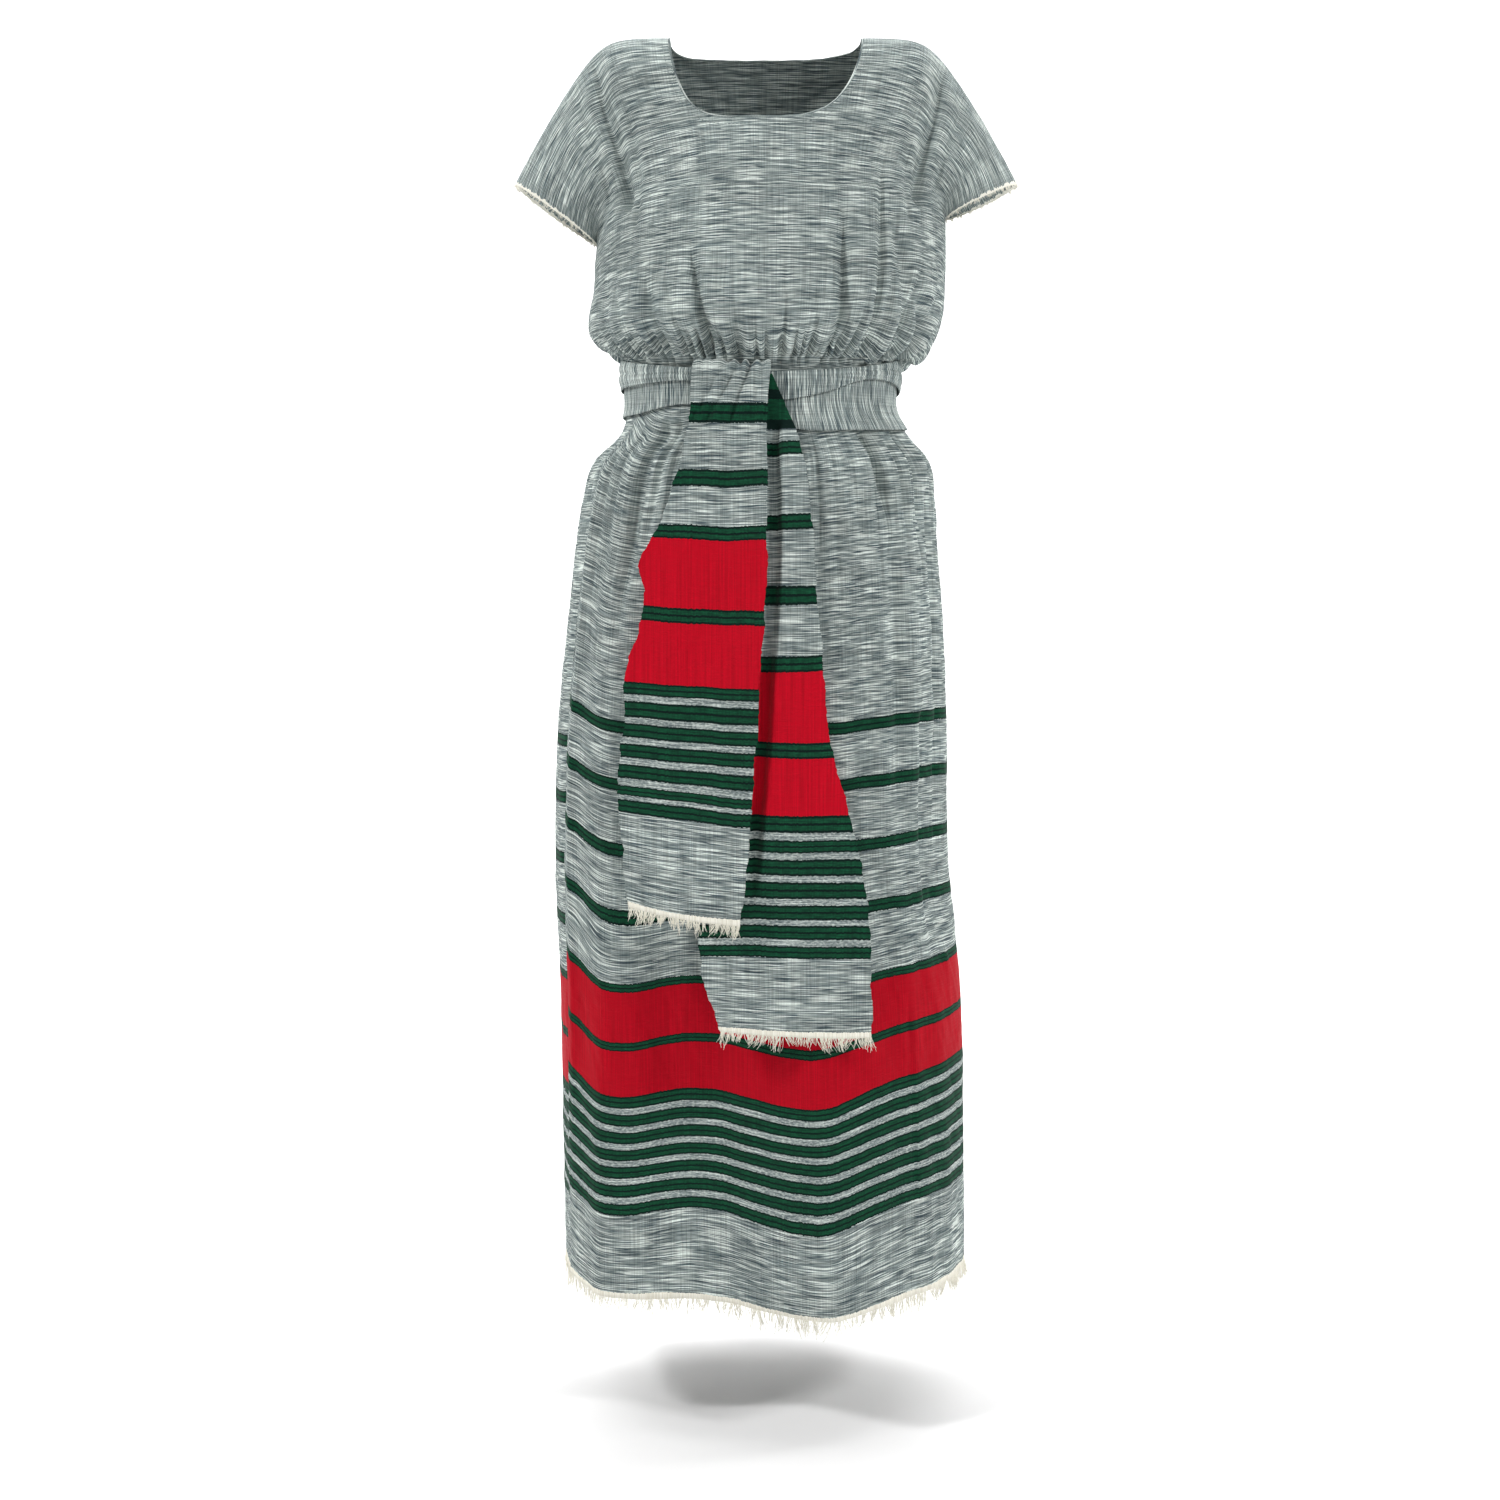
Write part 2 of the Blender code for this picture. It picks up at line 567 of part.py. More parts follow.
def main():
    clear_objects()
    grey = cotton("grey_slub_cotton", GREY_COTTON)
    green = cotton("green_striped_cotton", GREEN_COTTON)
    cream = cotton("cream_fringe", CREAM_COTTON)
    front_rows = (0.0, 0.035, 0.08, 0.135, 0.20, 0.27, 0.34, 0.41, 0.49, 0.57, 0.65, 0.73,
                  0.80, 0.86, 0.90, 0.925, 0.945, 0.962, 0.978, 1.0)
    back_rows = (0.0, 0.04, 0.10, 0.18, 0.28, 0.38, 0.50, 0.62, 0.74, 0.83, 0.89, 0.92,
                 0.945, 0.965, 0.98, 1.0)
    make_bodice("front", FRONT_BODICE_FOLDS, 8, 14, front_rows, grey)
    make_bodice("back", BACK_BODICE_FOLDS, 5, 10, back_rows, grey)
    make_skirt("skirt_front", LEFT_SEAM_ANGLE, RIGHT_SEAM_ANGLE, 36, grey)
    make_skirt("skirt_back", RIGHT_SEAM_ANGLE, LEFT_SEAM_ANGLE + 360.0, 32, grey)
    make_turn("sash_inner_turn", SASH_INNER_EDGES, -90.0, 270.0, 44, 4, SASH_CLEARANCE, grey, True)
    outer_lift = 2 * SASH_CLEARANCE + SASH_CLOTH + 2 * SASH_CREASE
    make_turn("sash_outer_turn", SASH_OUTER_EDGES, 0.0, 340.0, 42, 4, outer_lift, grey)
    make_tail("sash_tail_short", SHORT_TAIL, SHORT_TAIL_FOLDS, SHORT_TAIL_CORNER_RISE, 10, 12,
              green, cream)
    make_tail("sash_tail_long", LONG_TAIL, LONG_TAIL_FOLDS, LONG_TAIL_CORNER_RISE, 10, 14,
              green, cream)
    make_hem_fringe("hem_fringe_front", LEFT_SEAM_ANGLE, RIGHT_SEAM_ANGLE, 34, cream)
    make_hem_fringe("hem_fringe_back", RIGHT_SEAM_ANGLE, LEFT_SEAM_ANGLE + 360.0, 36, cream)


main()
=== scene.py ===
"""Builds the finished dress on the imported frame: cloth, sash, fringes, sewing and the studio."""
import math
from collections import namedtuple

import bpy
import numpy as np
from bpy.props import FloatProperty, FloatVectorProperty, IntProperty, PointerProperty
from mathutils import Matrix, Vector


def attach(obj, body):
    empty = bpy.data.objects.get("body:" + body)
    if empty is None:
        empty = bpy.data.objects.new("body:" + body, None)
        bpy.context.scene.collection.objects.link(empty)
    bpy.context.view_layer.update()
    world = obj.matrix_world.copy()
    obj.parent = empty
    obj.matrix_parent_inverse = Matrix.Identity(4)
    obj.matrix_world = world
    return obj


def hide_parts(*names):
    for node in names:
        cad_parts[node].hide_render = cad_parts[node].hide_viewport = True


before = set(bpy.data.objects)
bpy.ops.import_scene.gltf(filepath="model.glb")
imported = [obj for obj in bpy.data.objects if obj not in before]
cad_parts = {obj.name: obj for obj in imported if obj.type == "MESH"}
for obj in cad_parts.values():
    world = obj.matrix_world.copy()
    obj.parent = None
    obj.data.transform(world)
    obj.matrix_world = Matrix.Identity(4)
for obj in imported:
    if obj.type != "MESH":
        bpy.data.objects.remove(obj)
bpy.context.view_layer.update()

bl_info = {
    "name": "Gathered dress with sash",
    "version": (1, 0, 0),
    "blender": (4, 5, 0),
    "location": "3D View > Sidebar > Dress",
    "description": "Handwoven slub cotton dress with striped borders, a tied sash and fringes",
    "category": "Object",
}

# The dress's own sizes in metres, the same as the solids'.
SASH_CLOTH = 0.0018
SASH_CLEARANCE = 0.0008
SASH_FLARE_CLEARANCE = 0.0010
SASH_CREASE = 0.0005
SASH_FLARE_TOP = -0.351
SEAM_GAP = 0.0003
FULLNESS = 0.18

SHOULDER_AT = 0.47
SHOULDER_ROUNDING = 0.045
ARM_STEEPNESS = 0.45
ARM_ROUNDING = 1.25
UNDERARM_AT = 0.40
SIDE_DROOP = 2.2

SLEEVE_TIP = {"left": (0.246, -0.1425), "right": (0.2475, -0.1425)}
UNDERARM = {"left": (0.1655, -0.2000), "right": (0.1770, -0.1745)}
SLEEVE_BULGE = {"front": 0.045, "back": 0.050}

NECK_HALF_WIDTH_AT = 0.291
NECK_DEPTH_AT = {"front": 0.266, "back": 0.075}

WAIST_SEAM_Z = -0.3345
HEM_Z = -1.2145

# Columns: how far down the panel, height, forward reach of the front, rear reach of the back.
BODICE_MIDDLE = (
    (0.00, 0.0000, 0.000, 0.000),
    (0.05, -0.0080, 0.026, 0.028),
    (0.12, -0.0290, 0.050, 0.054),
    (0.22, -0.0695, 0.072, 0.080),
    (0.32, -0.1140, 0.090, 0.096),
    (0.40, -0.1545, 0.101, 0.102),
    (0.50, -0.1895, 0.110, 0.106),
    (0.62, -0.2245, 0.116, 0.110),
    (0.74, -0.2565, 0.119, 0.114),
    (0.84, -0.2840, 0.117, 0.115),
    (0.90, -0.2975, 0.111, 0.111),
    (0.935, -0.3070, 0.103, 0.1045),
    (0.955, -0.3135, 0.099, 0.101),
    (0.97, -0.3190, 0.098, 0.100),
    (1.00, WAIST_SEAM_Z, 0.098, 0.100),
)

# Columns: how far down the panel, left side reach, left height, right side reach, right height.
BODICE_SIDE_SEAM = (
    (0.40, 0.1655, -0.2000, 0.1770, -0.1745),
    (0.50, 0.1675, -0.2245, 0.1775, -0.2065),
    (0.62, 0.1690, -0.2515, 0.1770, -0.2420),
    (0.74, 0.1740, -0.2740, 0.1745, -0.2730),
    (0.84, 0.1710, -0.2925, 0.1655, -0.2975),
    (0.89, 0.1610, -0.3030, 0.1560, -0.3135),
    (0.92, 0.1520, -0.3060, 0.1470, -0.3175),
    (0.945, 0.1430, -0.3050, 0.1380, -0.3105),
    (0.965, 0.1365, -0.3060, 0.1270, -0.3040),
    (0.98, 0.1365, -0.3170, 0.1275, -0.3130),
    (1.00, 0.1365, WAIST_SEAM_Z, 0.1275, WAIST_SEAM_Z),
)

# Columns: place across at the top and bottom (-1 left edge, 1 right edge), how far down it
# starts and ends, half width across, depth (minus is a trough).
FRONT_BODICE_FOLDS = (
    (-0.56, -0.60, 0.02, 0.44, 0.045, -0.0060),
    (0.58, 0.62, 0.02, 0.44, 0.045, -0.0060),
    (-0.46, -0.44, 0.66, 1.02, 0.040, -0.0065),
    (-0.30, -0.25, 0.70, 1.02, 0.030, -0.0060),
    (0.07, 0.06, 0.72, 1.02, 0.025, -0.0030),
    (0.24, 0.32, 0.42, 1.02, 0.035, -0.0070),
    (0.45, 0.66, 0.34, 1.02, 0.040, -0.0080),
    (0.64, 0.80, 0.66, 1.00, 0.045, -0.0110),
    (-0.72, -0.74, 0.60, 1.00, 0.050, -0.0060),
)
BACK_BODICE_FOLDS = (
    (-0.58, -0.62, 0.02, 0.44, 0.05, -0.0060),
    (0.58, 0.62, 0.02, 0.44, 0.05, -0.0060),
    (-0.50, -0.42, 0.50, 1.02, 0.05, -0.0070),
    (-0.15, -0.12, 0.60, 1.02, 0.04, -0.0060),
    (0.18, 0.14, 0.56, 1.02, 0.04, -0.0065),
    (0.56, 0.46, 0.44, 1.02, 0.05, -0.0080),
)

# Columns: height, left reach, right reach, front reach, back reach of the skirt's smooth form.
SKIRT_SECTIONS = (
    (WAIST_SEAM_Z, 0.1365, 0.1275, 0.098, 0.100),
    (-0.3640, 0.1365, 0.1275, 0.099, 0.101),
    (-0.3835, 0.1415, 0.1390, 0.103, 0.106),
    (-0.4120, 0.1665, 0.1600, 0.111, 0.117),
    (-0.4495, 0.1785, 0.1665, 0.118, 0.125),
    (-0.4890, 0.1855, 0.1690, 0.122, 0.129),
    (-0.5615, 0.1950, 0.1750, 0.126, 0.131),
    (-0.6765, 0.2060, 0.1800, 0.128, 0.133),
    (-0.7870, 0.2085, 0.1815, 0.130, 0.136),
    (-0.9495, 0.2025, 0.1955, 0.134, 0.142),
    (-1.0925, 0.1995, 0.1985, 0.138, 0.148),
    (HEM_Z, 0.1970, 0.1995, 0.140, 0.152),
)
LEFT_SEAM_ANGLE = -68.0
RIGHT_SEAM_ANGLE = 90.0
SEAM_REACH = 0.12
# Each skirt panel with its first and last angle, from seam to seam.
SKIRT_SEAMS = (("front", LEFT_SEAM_ANGLE, RIGHT_SEAM_ANGLE),
               ("back", RIGHT_SEAM_ANGLE, LEFT_SEAM_ANGLE + 360.0))

# Columns: angle round from the front at the top and at the bottom, top and bottom height,
# half width in degrees, height at the top and at the bottom (minus is a trough), sharpness
# (0 is soft, 1 is a pressed crease).
SKIRT_FOLDS = (
    (-68.0, -68.0, -0.398, -1.397, 7.0, 0.003, 0.005, 1.0),
    (-50.0, -50.0, -0.727, -1.217, 17.0, 0.000, 0.020, 1.0),
    (-24.0, -15.0, -0.547, -1.217, 24.0, -0.006, -0.034, 0.0),
    (15.0, 16.5, -0.827, -1.217, 26.0, 0.000, 0.046, 1.0),
    (66.0, 66.0, -0.646, -0.919, 7.0, -0.004, -0.008, 0.0),
    (-42.0, -46.0, -0.369, -0.547, 7.0, -0.009, -0.006, 0.0),
    (44.0, 42.0, -0.369, -0.487, 5.0, -0.007, -0.003, 0.0),
    (66.0, 60.0, -0.369, -0.517, 5.0, -0.008, -0.003, 0.0),
    (54.0, 50.0, -0.389, -0.787, 9.0, 0.004, 0.004, 0.0),
    (112.0, 116.0, -0.408, -1.217, 12.0, 0.006, 0.016, 0.0),
    (136.0, 138.0, -0.389, -1.217, 12.0, -0.008, -0.020, 0.0),
    (160.0, 158.0, -0.428, -1.217, 13.0, 0.006, 0.018, 0.0),
    (184.0, 180.0, -0.379, -1.217, 12.0, -0.008, -0.022, 0.0),
    (206.0, 204.0, -0.448, -1.217, 13.0, 0.005, 0.018, 0.0),
    (228.0, 230.0, -0.379, -1.217, 12.0, -0.008, -0.018, 0.0),
    (252.0, 254.0, -0.428, -1.217, 11.0, 0.004, 0.014, 0.0),
)

# Columns: angle round from the front, height of the upper edge, height of the lower edge.
SASH_INNER_EDGES = (
    (-90.0, -0.3140, -0.3695),
    (-60.0, -0.3220, -0.3680),
    (-35.0, -0.3280, -0.3610),
    (-15.0, -0.3305, -0.3650),
    (10.0, -0.3345, -0.3845),
    (40.0, -0.3295, -0.3850),
    (90.0, -0.3140, -0.3810),
    (140.0, -0.3240, -0.3790),
    (180.0, -0.3260, -0.3790),
    (230.0, -0.3240, -0.3750),
    (270.0, -0.3140, -0.3695),
)
SASH_OUTER_EDGES = (
    (0.0, -0.3315, -0.3610),
    (25.0, -0.3285, -0.3505),
    (45.0, -0.3245, -0.3375),
    (60.0, -0.3200, -0.3365),
    (90.0, -0.3115, -0.3455),
    (140.0, -0.3220, -0.3535),
    (180.0, -0.3240, -0.3550),
    (230.0, -0.3220, -0.3515),
    (270.0, -0.3130, -0.3435),
    (300.0, -0.3200, -0.3405),
    (325.0, -0.3260, -0.3385),
    (340.0, -0.3280, -0.3395),
)

# Columns: height, left edge, right edge, forward reach.
SHORT_TAIL = (
    (-0.3230, -0.065, 0.002, 0.1050),
    (-0.3210, -0.067, 0.004, 0.1095),
    (-0.3250, -0.069, 0.005, 0.1145),
    (-0.3335, -0.070, 0.004, 0.1165),
    (-0.3765, -0.073, 0.001, 0.1200),
    (-0.4280, -0.084, 0.001, 0.1270),
    (-0.4815, -0.103, 0.001, 0.1340),
    (-0.5090, -0.117, 0.001, 0.1360),
    (-0.5505, -0.115, -0.001, 0.1380),
    (-0.5735, -0.118, -0.002, 0.1390),
    (-0.6215, -0.132, -0.006, 0.1404),
    (-0.6700, -0.134, -0.008, 0.1420),
    (-0.7420, -0.140, -0.014, 0.1440),
    (-0.7840, -0.136, -0.017, 0.1456),
    (-0.8430, -0.131, -0.024, 0.1482),
)
LONG_TAIL = (
    (-0.3335, -0.030, 0.006, 0.1068),
    (-0.3815, -0.030, 0.026, 0.1130),
    (-0.3985, -0.028, 0.032, 0.1170),
    (-0.4715, -0.030, 0.043, 0.1300),
    (-0.5410, -0.036, 0.048, 0.1345),
    (-0.5990, -0.042, 0.053, 0.1365),
    (-0.6805, -0.050, 0.061, 0.1390),
    (-0.7295, -0.056, 0.073, 0.1400),
    (-0.7480, -0.058, 0.079, 0.1405),
    (-0.7920, -0.061, 0.089, 0.1425),
    (-0.8640, -0.064, 0.099, 0.1460),
    (-0.9070, -0.060, 0.100, 0.1490),
    (-0.9600, -0.042, 0.100, 0.1530),
)
# Columns: place across at the top and at the bottom (0 left edge, 1 right edge), half width,
# height at the top and at the bottom.
SHORT_TAIL_FOLDS = (
    (0.34, 0.22, 0.10, 0.0022, 0.0012),
    (0.62, 0.50, 0.10, -0.0020, -0.0014),
    (0.84, 0.80, 0.10, 0.0016, 0.0014),
)
LONG_TAIL_FOLDS = (
    (0.30, 0.24, 0.12, 0.0012, 0.0016),
    (0.62, 0.52, 0.12, -0.0014, -0.0018),
    (0.86, 0.80, 0.10, 0.0010, 0.0016),
)


# Finer creases than the solids carry, with the same columns as the tables above.
FINE_FRONT_CREASES = (
    (-0.29, -0.17, 0.54, 1.08, 0.020, -0.0175),
    (-0.25, -0.21, 0.70, 1.08, 0.012, -0.0062),
    (-0.38, -0.28, 0.64, 1.08, 0.016, -0.0078),
    (-0.50, -0.36, 0.58, 1.08, 0.024, -0.0078),
    (-0.66, -0.52, 0.62, 1.08, 0.024, -0.0078),
    (-0.12, -0.08, 0.72, 1.08, 0.012, -0.0054),
    (0.07, 0.07, 0.58, 1.08, 0.010, -0.0047),
    (0.17, 0.20, 0.66, 1.08, 0.013, -0.0062),
    (0.27, 0.29, 0.36, 1.08, 0.018, -0.0105),
    (0.38, 0.36, 0.70, 1.08, 0.013, -0.0070),
    (0.43, 0.43, 0.26, 1.08, 0.018, -0.0150),
    (0.50, 0.44, 0.56, 1.08, 0.020, -0.0085),
    (0.66, 0.55, 0.58, 1.08, 0.024, -0.0124),
    (0.80, 0.70, 0.66, 1.04, 0.030, -0.0093),
    (-0.56, -0.61, 0.03, 0.44, 0.026, -0.0078),
    (-0.66, -0.72, 0.05, 0.38, 0.024, -0.0047),
    (-0.48, -0.55, 0.16, 0.50, 0.020, -0.0047),
    (0.59, 0.64, 0.03, 0.44, 0.026, -0.0078),
    (0.69, 0.75, 0.05, 0.38, 0.024, -0.0047),
    (0.50, 0.57, 0.14, 0.48, 0.020, -0.0043),
)
FINE_BACK_CREASES = (
    (-0.60, -0.44, 0.56, 1.08, 0.022, -0.0099),
    (-0.44, -0.32, 0.60, 1.08, 0.018, -0.0099),
    (-0.26, -0.20, 0.66, 1.08, 0.014, -0.0078),
    (-0.08, -0.06, 0.70, 1.08, 0.012, -0.0068),
    (0.06, 0.07, 0.62, 1.08, 0.012, -0.0078),
    (0.24, 0.20, 0.66, 1.08, 0.014, -0.0078),
    (0.42, 0.34, 0.56, 1.08, 0.018, -0.0107),
    (0.64, 0.50, 0.58, 1.08, 0.022, -0.0107),
    (-0.58, -0.63, 0.03, 0.44, 0.024, -0.0088),
    (0.58, 0.63, 0.03, 0.44, 0.024, -0.0088),
)
BODICE_FOLDS = {
    "front": (FRONT_BODICE_FOLDS, FINE_FRONT_CREASES),
    "back": (BACK_BODICE_FOLDS, FINE_BACK_CREASES),
}

# How much lower than nominal the stripes lie round the skirt's front: a row is an angle round
# from the front, then the drop at each of these heights.
DROOP_HEIGHTS = (-0.72, -0.84, -0.905, -0.96, -1.01, -1.139, -1.2145)
STRIPE_DROOP = (
    (-68.0, -0.0250, -0.0310, -0.0140, -0.0105, -0.0115, -0.0165, 0.0),
    (-50.0, -0.0030, 0.0000, 0.0150, 0.0170, 0.0140, 0.0010, 0.0),
    (-20.0, 0.0000, 0.0000, 0.0080, 0.0080, 0.0055, -0.0040, 0.0),
    (16.5, 0.0000, 0.0000, 0.0140, 0.0160, 0.0180, 0.0070, 0.0),
    (31.0, -0.0040, -0.0060, 0.0050, 0.0045, 0.0020, -0.0060, 0.0),
    (60.0, -0.0095, -0.0125, -0.0035, -0.0080, -0.0125, -0.0165, 0.0),
    (90.0, -0.0100, -0.0150, -0.0085, -0.0140, -0.0200, -0.0200, 0.0),
)
# How far the hem dips below its nominal height, against the angle round from the front.
HEM_DIP = (
    (-68.0, -0.0040),
    (-50.0, 0.0060),
    (-20.0, 0.0100),
    (16.5, 0.0135),
    (31.0, 0.0070),
    (60.0, 0.0010),
    (90.0, -0.0030),
    (120.0, 0.0040),
    (200.0, 0.0060),
    (240.0, 0.0020),
    (292.0, -0.0040),
)
BACK_STRIPE_DROOP = 0.016

# Woven bands by colour, each with its start and end from the shoulder line down.
SKIRT_BANDS = {
    "green": ((0.6634, 0.6754), (0.7186, 0.7306), (0.7790, 0.7910), (0.8406, 0.8526),
        (0.8983, 0.9065), (0.9553, 0.9645), (1.0105, 1.0228), (1.0292, 1.0421),
        (1.0487, 1.0616), (1.0682, 1.0811), (1.0877, 1.1006), (1.1072, 1.1201),
        (1.1267, 1.1376)),
    "red": ((0.9065, 0.9553), (0.9645, 1.0105)),
    "cream": ((1.2095, 1.2250),),
}
SHORT_TAIL_BANDS = {
    "green": ((0.3618, 0.3810), (0.4252, 0.4410), (0.4774, 0.4907), (0.5568, 0.5709),
        (0.6295, 0.6415), (0.6481, 0.6641), (0.6700, 0.6833), (0.6892, 0.7025),
        (0.7089, 0.7221), (0.7290, 0.7378), (0.7422, 0.7546)),
    "red": ((0.4907, 0.5568), (0.5709, 0.6295)),
    "cream": ((0.8375, 0.8600),),
}
LONG_TAIL_BANDS = {
    "green": ((0.3200, 0.3855), (0.3976, 0.4103), (0.4661, 0.4809), (0.5335, 0.5512),
        (0.5991, 0.6140), (0.6802, 0.6951), (0.7493, 0.7655), (0.7727, 0.7843),
        (0.7905, 0.8057), (0.8119, 0.8280), (0.8343, 0.8485), (0.8539, 0.8671),
        (0.8735, 0.8848)),
    "red": ((0.6140, 0.6802), (0.6951, 0.7493)),
    "cream": ((0.9545, 0.9750),),
}
HALF_CLOTH_WIDTH = 0.31
HALF_WAIST = 0.205
# How square the neckline's left and right corners are.
NECK_CORNERS = (4.4, 3.1)

# Creases at the knot, over the short tail: share across at the top and at the foot, depth.
KNOT_CREASES = ((0.93, 0.80, -0.0035), (0.84, 0.52, -0.0050), (0.74, 0.24, -0.0045),
                (0.60, 0.04, -0.0030))
# How far each tail's left side has risen, as a share of its corner, down its length.
SHORT_TAIL_RISE = ((0.25, 0.0), (0.44, 0.5), (0.57, 0.68), (0.81, 0.86), (1.0, 0.65))
LONG_TAIL_RISE = ((0.80, 0.0), (0.90, 0.5), (1.0, 1.0))

# How far a tail's left and right edges waver: size and wave length, broad then fine.
TAIL_LEFT_WAVER = ((0.0012, 0.05), (0.0007, 0.012))
TAIL_RIGHT_WAVER = ((0.0010, 0.06), (0.0006, 0.011))
TAIL_COLUMNS = 100

# corner is how far a tail's left corner rises and rise is where, pale is the stretch whose plain
# gaps are paler, curl the lift of the right edge, and pleats the height of the gathers at the
# knot. A tail with a curl lies over the knot.
Tail = namedtuple("Tail", "outline folds corner rise bands pale rows seed curl pleats")
TAILS = {
    "short": Tail(SHORT_TAIL, SHORT_TAIL_FOLDS, 0.011, SHORT_TAIL_RISE, SHORT_TAIL_BANDS,
                  (0.6295, 0.7546), 180, 51, 0.0110, 0.0022),
    "long": Tail(LONG_TAIL, LONG_TAIL_FOLDS, 0.006, LONG_TAIL_RISE, LONG_TAIL_BANDS,
                 (0.7493, 0.8848), 220, 61, 0.0, 0.0004),
}

# A turn's grid steps round the waist, and the radius that makes its angles a length of cloth.
TURN_COLUMNS = 300
TURN_RADIUS = 0.135
# Each turn of the sash: its edges, first and last angle, rows, how far it stands from the
# skirt, and the height of its creases.
TURNS = {
    "inner": (SASH_INNER_EDGES, -90.0, 270.0, 30, SASH_CLEARANCE, 2 * SASH_CREASE),
    "outer": (SASH_OUTER_EDGES, 0.0, 340.0, 24,
              2 * SASH_CLEARANCE + SASH_CLOTH + 2 * SASH_CREASE, 0.0020),
}

# Grid steps across and down. The bodice has steps round its neckline before those across.
BODICE_STEPS = {"front": (40, 125, 118), "back": (30, 100, 96)}
SKIRT_STEPS = {"front": (230, 160), "back": (220, 130)}

# The bodice's waist has three sets of gathers: fine ones, wide ones that fan upwards as rays
# and carry a ripple of the fine ones, and a line of small puckers over the elastic. WIDE_GATHER
# is in widths of a fine one, and ELASTIC_AT and ELASTIC_BAND are shares of the way down.
WIDE_GATHER = 2.2
RAY_HEIGHT = 0.0032
RAY_RIPPLE = 0.0018
ELASTIC_AT = 0.944
ELASTIC_BAND = 0.013
ELASTIC_PUCKER = 0.0080
ELASTIC_HEIGHT = 0.0042
ELASTIC_SINK = 0.0012
BODICE_SEEDS = {"front": 3, "back": 11}
# The panel's length and the neckline's half width in metres, which place the row of stitches.
BODICE_LENGTH = 0.40
NECK_REACH = 0.09
# How far across the panel the frayed edge is rooted, just inside the sleeve's edge.
SLEEVE_EDGE_AT = 0.9985

# The radius that makes the skirt's angles a length of cloth.
SKIRT_RADIUS = 0.19
# The skirt's gathers and waves: height, width of one, seed.
WAIST_GATHERS = (0.0020, 0.021, 21)
FINE_GATHERS = (0.0012, 0.0095, 29)
LONG_WAVES = (0.0014, 0.075, 33)
# Height of the handwoven cloth's slight unevenness, on the dress and on the tails.
WAVER = 0.0006
TAIL_WAVER = 0.0005

# The stitches lie this far below the neck's edge. Their pitch is in stitch lengths.
STITCH_INSET = 0.0065
STITCH_PITCH = 1.55
STITCH_RISE = 0.00012
STITCH_RADIUS = 0.00034
SLEEVE_THREADS = 170
# How far above a cloth's lower edge its fringe is rooted.
FRINGE_ROOT = 0.0010

# Creases that only the finished skirt has: angle round from the front at the top and bottom,
# top and bottom height, half width in degrees, and size (minus is a trough).
SKIRT_CREASES = (
    (-36.0, -40.0, -0.372, -0.54, 2.2, -0.0085),
    (-43.0, -47.0, -0.372, -0.62, 2.6, -0.0080),
    (-29.0, -31.0, -0.372, -0.48, 1.8, -0.0065),
    (-54.0, -58.0, -0.380, -0.60, 2.4, -0.0055),
    (40.5, 45.0, -0.386, -0.48, 2.0, -0.0140),
    (61.0, 66.0, -0.386, -0.50, 2.2, -0.0140),
    (58.0, 60.0, -0.640, -0.98, 3.2, -0.0065),
    (68.0, 68.0, -0.640, -1.02, 2.5, 0.0030),
    (52.0, 53.0, -0.388, -0.52, 2.0, -0.0050),
    (30.0, 33.0, -0.392, -0.52, 2.2, -0.0045),
    (46.0, 44.0, -0.480, -0.84, 3.2, -0.0065),
    (72.0, 68.0, -0.420, -0.90, 2.6, -0.0070),
    (44.0, 45.0, -0.930, -1.20, 1.2, -0.0018),
    (-64.0, -65.0, -0.400, -1.21, 2.0, 0.0050),
    (-71.0, -71.0, -0.420, -1.21, 3.0, -0.0045),
    (116.0, 122.0, -0.386, -0.62, 3.2, -0.0100),
    (143.0, 141.0, -0.386, -0.70, 3.4, -0.0110),
    (166.0, 163.0, -0.386, -0.58, 2.6, -0.0085),
    (189.0, 193.0, -0.386, -0.70, 3.2, -0.0110),
    (214.0, 210.0, -0.386, -0.60, 2.6, -0.0085),
    (238.0, 234.0, -0.386, -0.68, 3.2, -0.0100),
    (262.0, 260.0, -0.386, -0.60, 2.4, -0.0070),
)

# The noise that draws the yarns: spots a metre along the weft and down the cloth, and detail.
SPOTS = {
    "drift": (7, 12, 1.5), "fine": (60, 1300, 1.0), "white": (26, 900, 1.5),
    "dark": (30, 960, 1.5), "warp": (800, 16, 1.0), "broad": (6, 18, 2.0),
    "picks": (5, 330, 2.0), "fray": (480, 3, 1.5), "sway": (20, 3, 1.5),
    "ribs": (620, 12, 1.0), "grain": (260, 800, 1.5), "lively": (90, 700, 1.5),
    "selvedge": (5, 300, 1.5), "twist": (300, 900, 2.0),
}
# Between which two of its values a noise goes from none to full.
USUAL_SPREAD = (0.3, 0.7)
WIDE_SPREAD = (0.2, 0.8)
RED_RIB_SPREAD = (0.25, 0.75)
WHITE_SPREAD = (0.53, 0.63)
DARK_SPREAD = (0.50, 0.61)
GRAIN_SPREAD = (0.46, 0.66)
TWIST_SPREAD = (0.35, 0.65)
# How far the yarns, a band's edges and the selvedge wander, in metres.
WEFT_DRIFT = 0.0012
BAND_FRAY = 0.0004
BAND_SWAY = 0.0006
SELVEDGE_WAVER = 0.0012
SELVEDGE_FROM = HALF_CLOTH_WIDTH * 0.991
# The brighter yarns of a green band lie this far from its middle, in the band's widths.
GREEN_YARNS = (0.07, 0.36)
# The skirt's stretch of paler gaps, and how much of its red is the darker red.
PALE_STRETCH = (1.0105, 1.1376)
SKIRT_RED_DIM = 0.40

